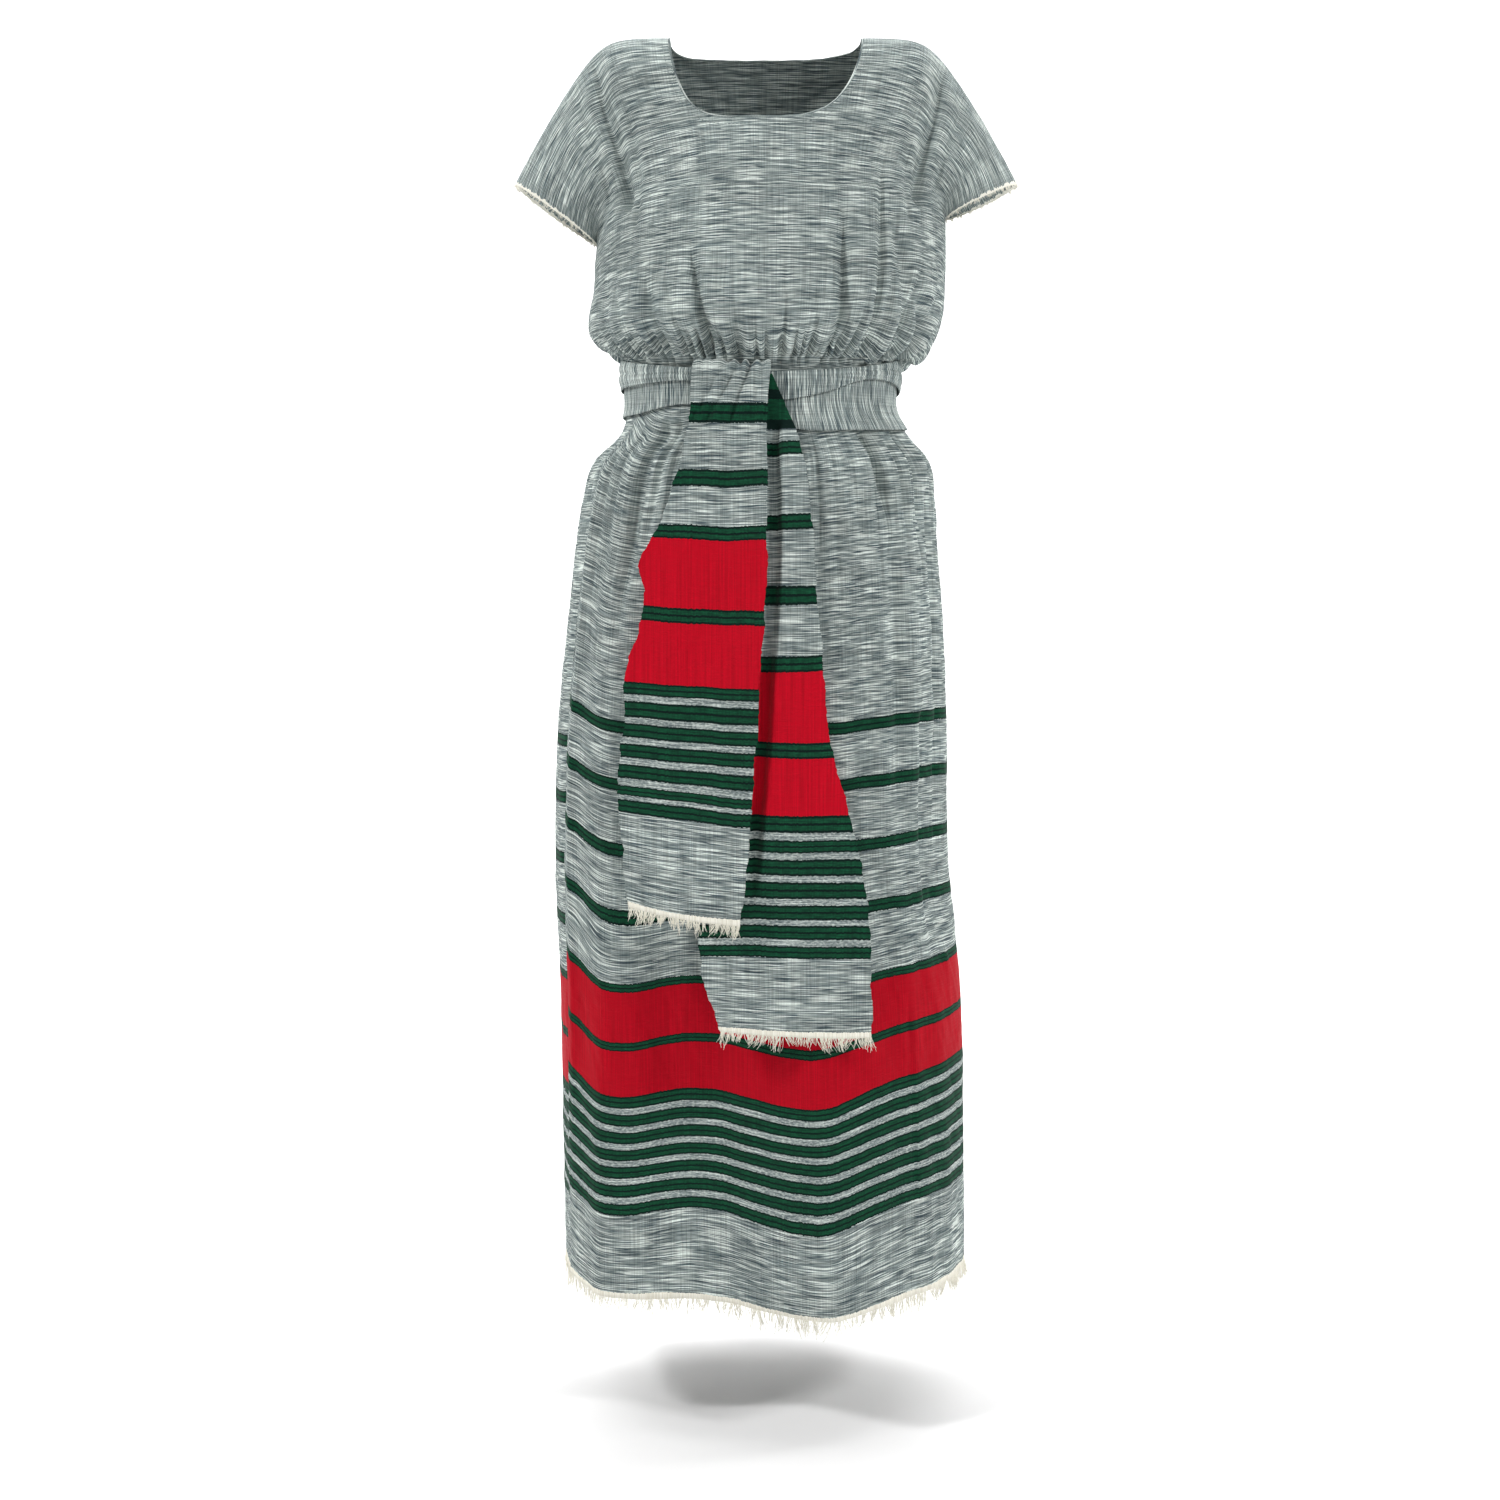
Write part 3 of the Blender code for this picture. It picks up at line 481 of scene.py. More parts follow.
# The floor runs back to where its curve starts, and the curve rises into the backdrop.
FLOOR_Z = -1.345
FLOOR_HALF_WIDTH = 7.0
FLOOR_FRONT = -6.0
CURVE_FROM = 0.6
CURVE_RADIUS = 1.6
BACKDROP_TOP = 5.5
SURROUND_STRENGTH = 0.22
SENSOR_WIDTH = 36.0
CAMERA_PLACE = (-0.015, -2.45, -0.5085)
# The tangent of the camera's tilt, and its focal length as a share of the picture's width.
CAMERA_TILT = 190.0 / 2450.0
CAMERA_FOCAL = 2450.0 / 1500.0
# Name, place, aim, size in metres and power in watts.
LIGHTS = (
    ("left_key_light", (-2.3, -1.3, 1.7), (0.0, 0.0, -0.4), 0.45, 56.0),
    ("right_key_light", (2.3, -1.5, 1.1), (0.0, 0.0, -0.4), 0.55, 40.0),
    ("fill_light", (0.4, -3.0, 0.6), (0.0, 0.0, -0.4), 1.8, 12.0),
    ("rim_light", (0.6, 1.2, 1.8), (0.0, 0.0, -0.6), 1.4, 8.0),
    ("left_backdrop_light", (-1.6, 0.7, 1.6), (-0.6, 2.6, 0.2), 1.2, 36.0),
    ("right_backdrop_light", (1.6, 0.7, 1.6), (0.6, 2.6, 0.2), 1.2, 36.0),
    ("floor_light", (0.0, 0.9, 0.6), (0.0, 1.6, -1.34), 1.6, 20.0),
)


def through(table, column, at):
    """A smooth curve through one column of a table, against the table's first column."""
    rows = np.array(table, dtype=float)
    order = np.argsort(rows[:, 0])
    place = rows[order, 0]
    value = rows[order, column]
    slope = np.gradient(value, place)
    at = np.clip(np.asarray(at, dtype=float), place[0], place[-1])
    cell = np.clip(np.searchsorted(place, at) - 1, 0, len(place) - 2)
    width = place[cell + 1] - place[cell]
    u = (at - place[cell]) / width
    return (value[cell] * (1 + 2 * u) * (1 - u) ** 2
            + slope[cell] * width * u * (1 - u) ** 2
            + value[cell + 1] * u ** 2 * (3 - 2 * u)
            + slope[cell + 1] * width * u ** 2 * (u - 1))


def ease(u):
    """Rises smoothly from 0 to 1 as u goes from 0 to 1."""
    u = np.clip(u, 0.0, 1.0)
    return u * u * (3 - 2 * u)


def oval(angle):
    """Across and forward parts of a full oval section, for an angle round from the front."""
    across = np.sin(angle)
    return across, np.cos(angle) * (1 + FULLNESS * across ** 2)


def unit(vectors):
    """The same directions, each one unit long."""
    return vectors / np.linalg.norm(vectors, axis=-1, keepdims=True)


def outward(surface, u, v):
    """Outward normals of surface(u, v), where u runs left to right and v runs down."""
    step = 1e-4
    along = surface(u + step, v) - surface(u - step, v)
    down = surface(u, v + step) - surface(u, v - step)
    return unit(np.cross(down, along))


def bodice_edge(side, facing, down):
    """The sleeve opening's half oval from tip to underarm, then the side seam to the waist."""
    tip, under = SLEEVE_TIP[side], UNDERARM[side]
    column = 1 if side == "left" else 3
    turn = np.clip(down / UNDERARM_AT, 0.0, 1.0) * math.pi
    open_reach = (tip[0] + under[0]) / 2 + (tip[0] - under[0]) / 2 * np.cos(turn)
    open_height = (tip[1] + under[1]) / 2 + (tip[1] - under[1]) / 2 * np.cos(turn)
    sewn = down > UNDERARM_AT
    reach = np.where(sewn, through(BODICE_SIDE_SEAM, column, down), open_reach)
    height = np.where(sewn, through(BODICE_SIDE_SEAM, column + 1, down), open_height)
    return reach, height, SLEEVE_BULGE[facing] * np.sin(turn)


def bodice_surface(facing):
    """The bodice's smooth form: place across is -1 to 1, place down the cloth is 0 to 1."""
    reach_column = 2 if facing == "front" else 3
    forward_sign = -1.0 if facing == "front" else 1.0

    def surface(across, down):
        across, down = np.broadcast_arrays(np.asarray(across, float), np.asarray(down, float))
        away = np.abs(across)
        left = bodice_edge("left", facing, down)
        right = bodice_edge("right", facing, down)
        on_left = across < 0
        reach = np.where(on_left, left[0], right[0])
        edge_height = np.where(on_left, left[1], right[1])
        bulge = left[2]
        lower = ease(down / UNDERARM_AT)
        ramp = SHOULDER_ROUNDING * np.log1p(np.exp((away - SHOULDER_AT) / SHOULDER_ROUNDING))
        full = SHOULDER_ROUNDING * np.log1p(np.exp((1 - SHOULDER_AT) / SHOULDER_ROUNDING))
        shoulder = (away - ARM_STEEPNESS * ramp) / (1 - ARM_STEEPNESS * full)
        round_across, round_forward = oval(away * math.pi / 2)
        side = np.sign(across) * reach * ((1 - lower) * shoulder + lower * round_across)
        fall = (1 - lower) * (ramp / full) ** ARM_ROUNDING + lower * away ** SIDE_DROOP
        middle = through(BODICE_MIDDLE, 1, down)
        height = middle + (edge_height - middle) * fall
        forward = (through(BODICE_MIDDLE, reach_column, down) * round_forward
                   + bulge * ease((away - 0.5) / 0.5) + SEAM_GAP / 2)
        return np.stack([side, forward_sign * forward, height], axis=-1)

    return surface


def fold_sum(across, down, folds, fade_in, fade_out, early, power):
    """The sum of a panel's folds. Each fades in and out down the cloth, and deepens on the way
    from an early share of its height. Its section is a bump that falls off by a power."""
    total = np.zeros(np.broadcast(across, down).shape)
    for at_top, at_bottom, start, end, width, height in folds:
        run = np.clip((down - start) / (end - start), 0.0, 1.0)
        middle = at_top + (at_bottom - at_top) * run
        fade = ease(run / fade_in) * (early + (1 - early) * run) * ease((1 - run) / fade_out)
        total = total + height * fade * np.exp(-np.abs((across - middle) / width) ** power)
    return total


def run_along(line):
    """How far along a line each of its points is, in metres."""
    return np.concatenate([[0.0], np.cumsum(np.linalg.norm(np.diff(line, axis=0), axis=1))])


def skirt_surface(angle, height):
    """The skirt's smooth form, for an angle in degrees round from the front and a height."""
    turn = np.radians(angle)
    across, forward = oval(turn)
    side = np.where(across < 0, through(SKIRT_SECTIONS, 1, height),
                    through(SKIRT_SECTIONS, 2, height))
    reach = np.where(forward > 0, through(SKIRT_SECTIONS, 3, height),
                     through(SKIRT_SECTIONS, 4, height))
    return np.stack([side * across, -reach * forward, height + 0 * across], axis=-1)


def level_normal(angle, height):
    """Outward normal of the smooth skirt, kept level so that moved points stay at their height."""
    step = 0.01
    along = skirt_surface(angle + step, height) - skirt_surface(angle - step, height)
    return unit(np.stack([along[..., 1], -along[..., 0], 0 * along[..., 0]], axis=-1))


def turn_between(angle, middle):
    """How many degrees lie between two angles, the short way round."""
    return np.abs((angle - middle + 180.0) % 360.0 - 180.0)


def skirt_fold_height(angle, height):
    """The skirt's main folds: soft bumps and pressed creases that run down the cloth."""
    total = np.zeros(np.broadcast(angle, height).shape)
    for top_angle, low_angle, top, bottom, width, top_height, low_height, sharp in SKIRT_FOLDS:
        run = np.clip((top - height) / (top - bottom), 0.0, 1.0)
        middle = top_angle + (low_angle - top_angle) * run
        away = turn_between(angle, middle) / width
        tent = np.exp(-np.sqrt(away ** 2 + 0.01) * 1.3) * math.exp(0.13)
        bump = sharp * tent + (1 - sharp) * np.exp(-away ** 2)
        fade = ease(run / 0.15)
        if bottom > HEM_Z:
            fade = fade * ease((1 - run) / 0.3)
        total = total + (top_height + (low_height - top_height) * run) * fade * bump
    return total


def linear(red, green, blue):
    """Screen colour numbers from 0 to 255 as the linear shares that shading uses."""
    share = (np.array([red, green, blue]) / 255.0 + 0.055) / 1.055
    return tuple(share ** 2.4)


def curve_sum(at, wave, seed):
    """A smooth uneven curve between about -1 and 1: four sine waves of nearby lengths, added."""
    dice = np.random.default_rng(seed)
    total = np.zeros_like(np.asarray(at, float))
    for stretch in (0.57, 0.83, 1.21, 1.9):
        total = total + np.sin(at * (2 * math.pi / (wave * stretch)) + dice.uniform(0, 6.28))
    return total / 2.6


def uneven_waves(at, wave, seed):
    """Waves whose length and height change from one to the next."""
    turns = at / wave + 0.55 * curve_sum(at, 5 * wave, seed)
    return np.sin(2 * math.pi * turns) * (0.72 + 0.28 * curve_sum(at, 4 * wave, seed + 1))


def puckers(at, width, seed):
    """Gathers: round ridges with narrow valleys between them, from -1 to 1, uneven in size."""
    turns = at / width + 0.5 * curve_sum(at, 5 * width, seed)
    size = 0.75 + 0.25 * curve_sum(at, 4 * width, seed + 1)
    return (2 * np.abs(np.sin(math.pi * turns)) ** 0.6 - 1) * size


def cloth_waver(across, down, seed):
    """The slight unevenness of handwoven cloth, in both directions."""
    slant = across + 0.3 * down
    return (curve_sum(slant, 0.045, seed) * curve_sum(down, 0.07, seed + 1)
            + 0.6 * curve_sum(across - 0.5 * down, 0.021, seed + 2))


def cells(rows, columns, closed=False):
    """The corner numbers of a grid's cells: top left, low left, low right and top right."""
    r, c = np.meshgrid(np.arange(rows - 1), np.arange(columns if closed else columns - 1),
                       indexing="ij")
    left, right = r * columns + c, r * columns + (c + 1) % columns
    return np.stack([left, left + columns, right + columns, right], axis=-1)


def add_mesh(name, points, faces, flat, material):
    """A mesh piece from arrays: flat holds each face corner's place on the cloth, in metres."""
    mesh = bpy.data.meshes.new(name)
    mesh.from_pydata(points.tolist(), [], faces.tolist())
    layer = mesh.uv_layers.new(name="cloth")
    layer.uv.foreach_set("vector", np.ascontiguousarray(flat, dtype=np.float32).ravel())
    mesh.materials.append(material)
    mesh.shade_smooth()
    piece = bpy.data.objects.new(name, mesh)
    bpy.context.scene.collection.objects.link(piece)
    return piece


def shell(name, outer, normal, thickness, flat, material, closed=False):
    """A thin closed shell: the outer grid, the same grid moved inwards, and a rim round it.

    flat has one column more than outer where the grid is closed on itself."""
    rows, columns = outer.shape[:2]
    count = rows * columns
    points = np.concatenate([outer.reshape(-1, 3), (outer - normal * thickness).reshape(-1, 3)])
    grid = cells(rows, columns, closed)
    spots = cells(rows, flat.shape[1])
    faces = [grid.reshape(-1, 4), grid.reshape(-1, 4)[:, ::-1] + count]
    places = [spots.reshape(-1, 4), spots.reshape(-1, 4)[:, ::-1]]
    every = slice(None)
    rims = [(slice(0, 1), every, (0, 3)), (slice(-1, None), every, (2, 1))]
    if not closed:
        rims += [(every, slice(0, 1), (1, 0)), (every, slice(-1, None), (3, 2))]
    for r, c, pair in rims:
        edge = grid[r, c].reshape(-1, 4)[:, pair]
        spot = spots[r, c].reshape(-1, 4)[:, pair]
        faces.append(np.concatenate([edge, edge[:, ::-1] + count], axis=1))
        places.append(np.concatenate([spot, spot[:, ::-1]], axis=1))
    spread = flat.reshape(-1, 2)[np.concatenate(places)]
    return add_mesh(name, points, np.concatenate(faces), spread, material)


def between(values, place):
    """Rows of values read at places between them."""
    steps = np.arange(len(values))
    return np.stack([np.interp(place, steps, values[:, k]) for k in range(3)], axis=-1)


def tubes(name, path, across, out, radius, material):
    """Round threads: path, across and out hold each thread's points, and radius its half width."""
    count, steps = path.shape[:2]
    turn = np.arange(4) * math.pi / 2
    ring = (across[:, :, None, :] * np.cos(turn)[:, None]
            + out[:, :, None, :] * np.sin(turn)[:, None])
    points = path[:, :, None, :] + ring * radius[..., None, None]
    first = np.arange(count)[:, None, None] * steps * 4
    level = np.arange(steps - 1)[None, :, None] * 4
    k = np.arange(4)[None, None, :]
    a, b = first + level + k, first + level + (k + 1) % 4
    sides = np.stack([a, b, b + 4, a + 4], axis=-1).reshape(-1, 4)
    start = (np.arange(count) * steps * 4)[:, None]
    tops = start + np.array([3, 2, 1, 0])
    ends = start + (steps - 1) * 4 + np.array([0, 1, 2, 3])
    faces = np.concatenate([sides, tops, ends])
    lengths = np.linalg.norm(np.diff(path, axis=1), axis=-1)
    run = np.concatenate([np.zeros((count, 1)), np.cumsum(lengths, axis=1)], axis=1)
    around = np.broadcast_to(turn * radius.max(), (count, steps, 4))
    around = around + np.arange(count)[:, None, None] * 0.01
    flat = np.stack([around, np.broadcast_to(run[..., None], around.shape)], axis=-1)
    return add_mesh(name, points.reshape(-1, 3), faces, flat.reshape(-1, 2)[faces], material)


def loose_threads(name, line, facing, hang, count, length, radius, tuft, seed, material):
    """A row of loose threads rooted on a line. They hang, lean together in tufts of about tuft
    threads, and curl a little: each point is the root plus shares of fall, along and out."""
    dice = np.random.default_rng(seed)
    place = np.sort(dice.uniform(0, len(line) - 1, count))
    root, out, fall = between(line, place), unit(between(facing, place)), unit(between(hang, place))
    along = unit(np.cross(out, fall))
    group = np.cumsum(dice.uniform(0, 1, count) < 1.0 / tuft)
    groups = group[-1] + 1
    members = np.maximum(np.bincount(group, minlength=groups), 1)
    middle = np.bincount(group, place, groups) / members
    pull = (middle[group] - place) * np.linalg.norm(np.diff(line, axis=0), axis=1).mean()
    reach = length * dice.uniform(0.45, 1.0, count) * dice.uniform(0.65, 1.15, groups)[group]
    lean = dice.normal(0, 0.22, groups)[group] + dice.normal(0, 0.16, count)
    push = dice.normal(0.02, 0.10, groups)[group] + dice.normal(0, 0.08, count)
    phase = dice.uniform(0, 6.28, count)[:, None]
    reach, lean, push, pull = (values[:, None] for values in (reach, lean, push, pull))
    t = np.linspace(0, 1, 6)[None, :]
    curl = 0.07 * (np.sin(t * 5.0 + phase) - np.sin(phase)) * t
    sideways = reach * (lean * t ** 1.5 + curl) + 0.6 * pull * t
    outwards = reach * push * t ** 1.6
    path = (root[:, None] + fall[:, None] * (reach * t)[..., None]
            + along[:, None] * sideways[..., None] + out[:, None] * outwards[..., None])
    width = radius * dice.uniform(0.7, 1.3, count)[:, None] * (1 - 0.45 * t)
    return tubes(name, path, np.broadcast_to(along[:, None], path.shape),
                 np.broadcast_to(out[:, None], path.shape), width, material)


def hanging_fringe(name, line, normal, count, length, radius, tuft, seed, material):
    """Threads that hang straight down from just above a cloth's lower edge."""
    root = line + np.array([0.0, 0.0, FRINGE_ROOT])
    hang = np.tile([0.0, 0.0, -1.0], (len(line), 1))
    return loose_threads(name, root, normal, hang, count, length, radius, tuft, seed, material)


def feed(tree, made, inputs):
    """Gives a node its inputs: a socket is linked, and a value is set on the input itself."""
    for key, value in inputs.items():
        if isinstance(value, bpy.types.NodeSocket):
            tree.links.new(value, made.inputs[key])
        else:
            made.inputs[key].default_value = value


def node(tree, kind, inputs=None, **settings):
    """Adds a shader node: settings are its own values, and inputs are values or links."""
    made = tree.nodes.new(kind)
    for key, value in settings.items():
        setattr(made, key, value)
    feed(tree, made, inputs or {})
    return made


def new_material(name):
    """A new material and its node tree."""
    made = bpy.data.materials.new(name)
    made.use_nodes = True
    return made, made.node_tree


def calc(tree, operation, *values):
    """One step of arithmetic on shader values."""
    return node(tree, "ShaderNodeMath", dict(enumerate(values)), operation=operation).outputs[0]


def times(tree, first, second):
    """The product of two shader values."""
    return calc(tree, "MULTIPLY", first, second)


def plus(tree, first, second):
    """The sum of two shader values."""
    return calc(tree, "ADD", first, second)


def within(tree, value, limits):
    """1 where a value lies between two limits, and 0 elsewhere."""
    return times(tree, calc(tree, "GREATER_THAN", value, limits[0]),
                 calc(tree, "LESS_THAN", value, limits[1]))


def blend(tree, share, low, high):
    """low where share is 0, high where it is 1."""
    low, high = (c if isinstance(c, bpy.types.NodeSocket) else (*c[:3], 1.0) for c in (low, high))
    return node(tree, "ShaderNodeMix", {0: share, 6: low, 7: high}, data_type="RGBA").outputs[2]


def streaks(tree, place, kind):
    """Noise drawn out along the weft or the warp, for one kind of yarn."""
    along, down, detail = SPOTS[kind]
    drawn = node(tree, "ShaderNodeVectorMath", {0: place, 1: (along, down, 1.0)},
                 operation="MULTIPLY").outputs[0]
    return node(tree, "ShaderNodeTexNoise", {"Vector": drawn, "Scale": 1.0, "Detail": detail,
                                             "Roughness": 0.6}, noise_dimensions="2D").outputs[0]


def scale_to(tree, value, to_low=0.0, to_high=1.0, spread=USUAL_SPREAD):
    """value becomes to_low to to_high, and no more, as it goes through its spread."""
    return node(tree, "ShaderNodeMapRange",
                {0: value, 1: spread[0], 2: spread[1], 3: to_low, 4: to_high}).outputs[0]


def nearest_band(tree, down, bands):
    """How far a place is from the middle of the nearest of some bands, in that band's widths."""
    nearest = 9.0
    for start, end in bands:
        away = calc(tree, "ABSOLUTE", calc(tree, "SUBTRACT", down, (start + end) / 2))
        nearest = calc(tree, "MINIMUM", nearest, calc(tree, "DIVIDE", away, end - start))
    return nearest


def plain_weave(tree, place, wavy, colours):
    """The undyed cloth: white and dark slubs along the weft, shaded by the warp and the picks.
    Gives the colour, the weft's relief and the warp's lines."""
    fine, warp = streaks(tree, wavy, "fine"), streaks(tree, wavy, "warp")
    white = scale_to(tree, streaks(tree, wavy, "white"), spread=WHITE_SPREAD)
    dark = scale_to(tree, streaks(tree, wavy, "dark"), spread=DARK_SPREAD)
    colour = blend(tree, scale_to(tree, fine), colours.grey_dark, colours.grey_light)
    colour = blend(tree, times(tree, dark, 0.92), colour, colours.dark_thread)
    colour = blend(tree, times(tree, white, 0.95), colour, colours.white_slub)
    shade = times(tree, scale_to(tree, warp, 0.80, 1.12),
                  scale_to(tree, streaks(tree, place, "broad"), 0.87, 1.07))
    shade = times(tree, shade, scale_to(tree, streaks(tree, wavy, "picks"), 0.80, 1.16))
    colour = node(tree, "ShaderNodeVectorMath", {0: colour, "Scale": shade},
                  operation="SCALE").outputs[0]
    return colour, plus(tree, times(tree, fine, 0.5), times(tree, white, 0.5)), warp


def woven_bands(tree, place, wavy, colour, warp, colours, bands, pale, red_dim):
    """Lays the green, red and cream bands over the plain weave. Their edges wander a little.
    Gives the colour, and 1 where a band stands above the plain cloth."""
    down = node(tree, "ShaderNodeSeparateXYZ", {0: wavy}).outputs[1]
    fray = scale_to(tree, streaks(tree, place, "fray"), -BAND_FRAY, BAND_FRAY)
    sway = scale_to(tree, streaks(tree, place, "sway"), -BAND_SWAY, BAND_SWAY)
    down = plus(tree, down, plus(tree, fray, sway))
    near = {kind: nearest_band(tree, down, bands[kind]) for kind in bands}
    share = {kind: calc(tree, "LESS_THAN", near[kind], 0.5) for kind in bands}
    ribs = streaks(tree, wavy, "ribs")
    grain = scale_to(tree, streaks(tree, place, "grain"), spread=GRAIN_SPREAD)
    paler = blend(tree, grain, colours.grey_dark, colours.white_slub)
    colour = blend(tree, times(tree, within(tree, down, pale), 0.45), colour, paler)
    lively = times(tree, within(tree, near["green"], GREEN_YARNS),
                   scale_to(tree, streaks(tree, wavy, "lively"), 0.45, 1.0))
    green_yarn = blend(tree, lively, colours.green_dark, colours.green_bright)
    green_yarn = blend(tree, scale_to(tree, ribs, 0.0, 0.35), green_yarn, colours.green_dark)
    red_share = plus(tree, scale_to(tree, ribs, 0.0, 0.75, RED_RIB_SPREAD), red_dim)
    red_yarn = blend(tree, red_share, colours.red_bright, colours.red_dark)
    cream_yarn = blend(tree, scale_to(tree, warp), colours.cream, colours.cream_shade)
    for kind, yarn in (("green", green_yarn), ("red", red_yarn), ("cream", cream_yarn)):
        colour = blend(tree, share[kind], colour, yarn)
    return colour, plus(tree, share["green"], share["red"])


def cream_edge(tree, place):
    """1 on the cream selvedge at the cloth's two edges, and 0 elsewhere."""
    side = calc(tree, "ABSOLUTE", node(tree, "ShaderNodeSeparateXYZ", {0: place}).outputs[0])
    rough = scale_to(tree, streaks(tree, place, "selvedge"), -SELVEDGE_WAVER, SELVEDGE_WAVER)
    return calc(tree, "GREATER_THAN", plus(tree, side, rough), SELVEDGE_FROM)


def slub_cotton(name, colours, bands=(), pale=None, red_dim=0.0, selvedge=False):
    """Handwoven slub cotton with its woven bands.

    pale is the stretch whose plain gaps are paler and grainy, red_dim darkens the red, and
    selvedge gives the cloth its cream edges."""
    made, tree = new_material(name)
    place = node(tree, "ShaderNodeUVMap", uv_map="cloth").outputs[0]
    drift = scale_to(tree, streaks(tree, place, "drift"), -WEFT_DRIFT, WEFT_DRIFT, WIDE_SPREAD)
    shift = node(tree, "ShaderNodeCombineXYZ", {1: drift}).outputs[0]
    wavy = node(tree, "ShaderNodeVectorMath", {0: place, 1: shift}, operation="ADD").outputs[0]
    colour, weft, warp = plain_weave(tree, place, wavy, colours)
    height = plus(tree, weft, times(tree, warp, 0.35))
    if bands:
        colour, raised = woven_bands(tree, place, wavy, colour, warp, colours, bands, pale, red_dim)
        height = plus(tree, height, times(tree, raised, 0.5))
    if selvedge:
        colour = blend(tree, cream_edge(tree, place), colour, colours.cream)
    bump = node(tree, "ShaderNodeBump", {"Height": height, "Strength": 0.4, "Distance": 0.0008})
    feed(tree, tree.nodes["Principled BSDF"], {
        "Base Color": colour, "Normal": bump.outputs[0],
        "Roughness": scale_to(tree, weft, 0.96, 0.84),
        "Specular IOR Level": 0.08, "Sheen Weight": 0.04, "Sheen Roughness": 0.6})
    return made


def loose_cotton(name, light, shade):
    """Loose cotton thread, paler and darker along its twist."""
    made, tree = new_material(name)
    place = node(tree, "ShaderNodeUVMap", uv_map="cloth").outputs[0]
    twist = streaks(tree, place, "twist")
    bump = node(tree, "ShaderNodeBump", {"Height": twist, "Strength": 0.4, "Distance": 0.0003})
    feed(tree, tree.nodes["Principled BSDF"], {
        "Base Color": blend(tree, scale_to(tree, twist, spread=TWIST_SPREAD), light, shade),
        "Normal": bump.outputs[0], "Roughness": 0.95, "Specular IOR Level": 0.15})
    return made


def place_piece(piece, node_name):
    """The piece rides the dress's one body and stands for a solid."""
    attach(piece, "root")
    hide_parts(node_name)
    return piece


def bodice_lengths(down):
    """How far down the cloth a place is, along the middle of the panel, in metres."""
    fine = np.linspace(0.0, 1.0, 400)
    height, forward = through(BODICE_MIDDLE, 1, fine), through(BODICE_MIDDLE, 2, fine)
    run = np.concatenate([[0.0], np.cumsum(np.hypot(np.diff(height), np.diff(forward)))])
    return np.interp(down, fine, run)


def bodice_cloth(facing, across, down, sizes):
    """The bodice's outer surface and outward normals, with creases, gathers and slight waver."""
    surface = bodice_surface(facing)
    normal = outward(surface, across, down)
    if facing == "back":
        normal = -normal
    seam = (np.abs(across) > 0.999) & (down >= UNDERARM_AT - 0.01)
    shoulder = down < 1e-6
    normal[seam | shoulder, 1] = 0.0
    normal = unit(normal)
    still = ease((1 - np.abs(across)) / 0.08)
    hold = ease((0.970 - down) / 0.04)
    sides = ease((0.90 - np.abs(across)) / 0.12)
    run = across * HALF_WAIST
    seed = BODICE_SEEDS[facing]
    fine = puckers(run, sizes.gather_width, seed)
    wide = puckers(run, sizes.gather_width * WIDE_GATHER, seed + 4)
    begin = 0.74 + 0.13 * curve_sum(run, 0.035, seed + 5)
    rays = ease((down - begin) / (0.94 - begin)) * ease((0.985 - down) / 0.02) * sides
    late = ease((down - 0.86) / 0.08) * ease((0.988 - down) / 0.02) * sides
    folds, creases = BODICE_FOLDS[facing]
    height = (fold_sum(across, down, folds, 0.35, 0.12, 1.0, 2)
              + fold_sum(across, down, creases, 0.25, 0.10, 0.45, 1.4)) * still * hold
    height = height + sizes.gather_height * late * (0.75 * fine + 0.25)
    height = height + RAY_HEIGHT * rays * wide + RAY_RIPPLE * rays * fine
    elastic = np.exp(-((down - ELASTIC_AT) / ELASTIC_BAND) ** 2) * sides
    height = height + elastic * (ELASTIC_HEIGHT * puckers(run, ELASTIC_PUCKER, seed + 9)
                                 - ELASTIC_SINK)
    waver = cloth_waver(run, bodice_lengths(down), seed + 7)
    height = height + WAVER * waver * still * hold * ease(down / 0.05)
    return surface(across, down) + normal * height[..., None], normal


def neck_cut(across, facing):
    """How far down each column starts: the neckline is squarer at its left corner."""
    inside = np.clip(np.abs(across) / NECK_HALF_WIDTH_AT, 0.0, 1.0)
    square = np.where(across < 0, NECK_CORNERS[0], NECK_CORNERS[1])
    return NECK_DEPTH_AT[facing] * (1 - inside ** square) ** (1 / square)


def bodice_grid(facing):
    """The panel's places across and down, below the neckline. Rows crowd towards both ends."""
    round_neck, over_panel, rows = BODICE_STEPS[facing]
    turn = np.linspace(0.0, math.pi / 2, round_neck + 1)
    neck = NECK_HALF_WIDTH_AT * np.sqrt(np.sin(turn))
    half = np.unique(np.concatenate([neck[neck > 0.2], np.linspace(0.0, 1.0, over_panel + 1)]))
    half = half[np.concatenate([[True], np.diff(half) > 2e-4])]
    half[-1] = 1.0
    across = np.concatenate([-half[:0:-1], half])[None, :]
    start = neck_cut(across, facing)
    share = np.linspace(0.0, 1.0, rows + 1)[:, None]
    share = share - 0.07 * np.sin(share * 2 * math.pi)
    down = start + (1 - start) * share
    return np.broadcast_to(across, down.shape), down


def build_bodice(facing, sizes, material):
    """One bodice panel. Its cloth narrows a little below the underarm, where it is sewn in."""
    across, down = bodice_grid(facing)
    outer, normal = bodice_cloth(facing, across, down, sizes)
    sewn_in = 1 - 0.03 * ease((down - UNDERARM_AT + 0.004) / 0.004)
    flat = np.stack([across * HALF_CLOTH_WIDTH * sewn_in, bodice_lengths(down)], axis=-1)
    if facing == "back":
        outer, normal, flat = outer[:, ::-1], normal[:, ::-1], flat[:, ::-1]
    return shell("bodice_" + facing + "_cloth", outer, normal, sizes.cloth, flat, material)


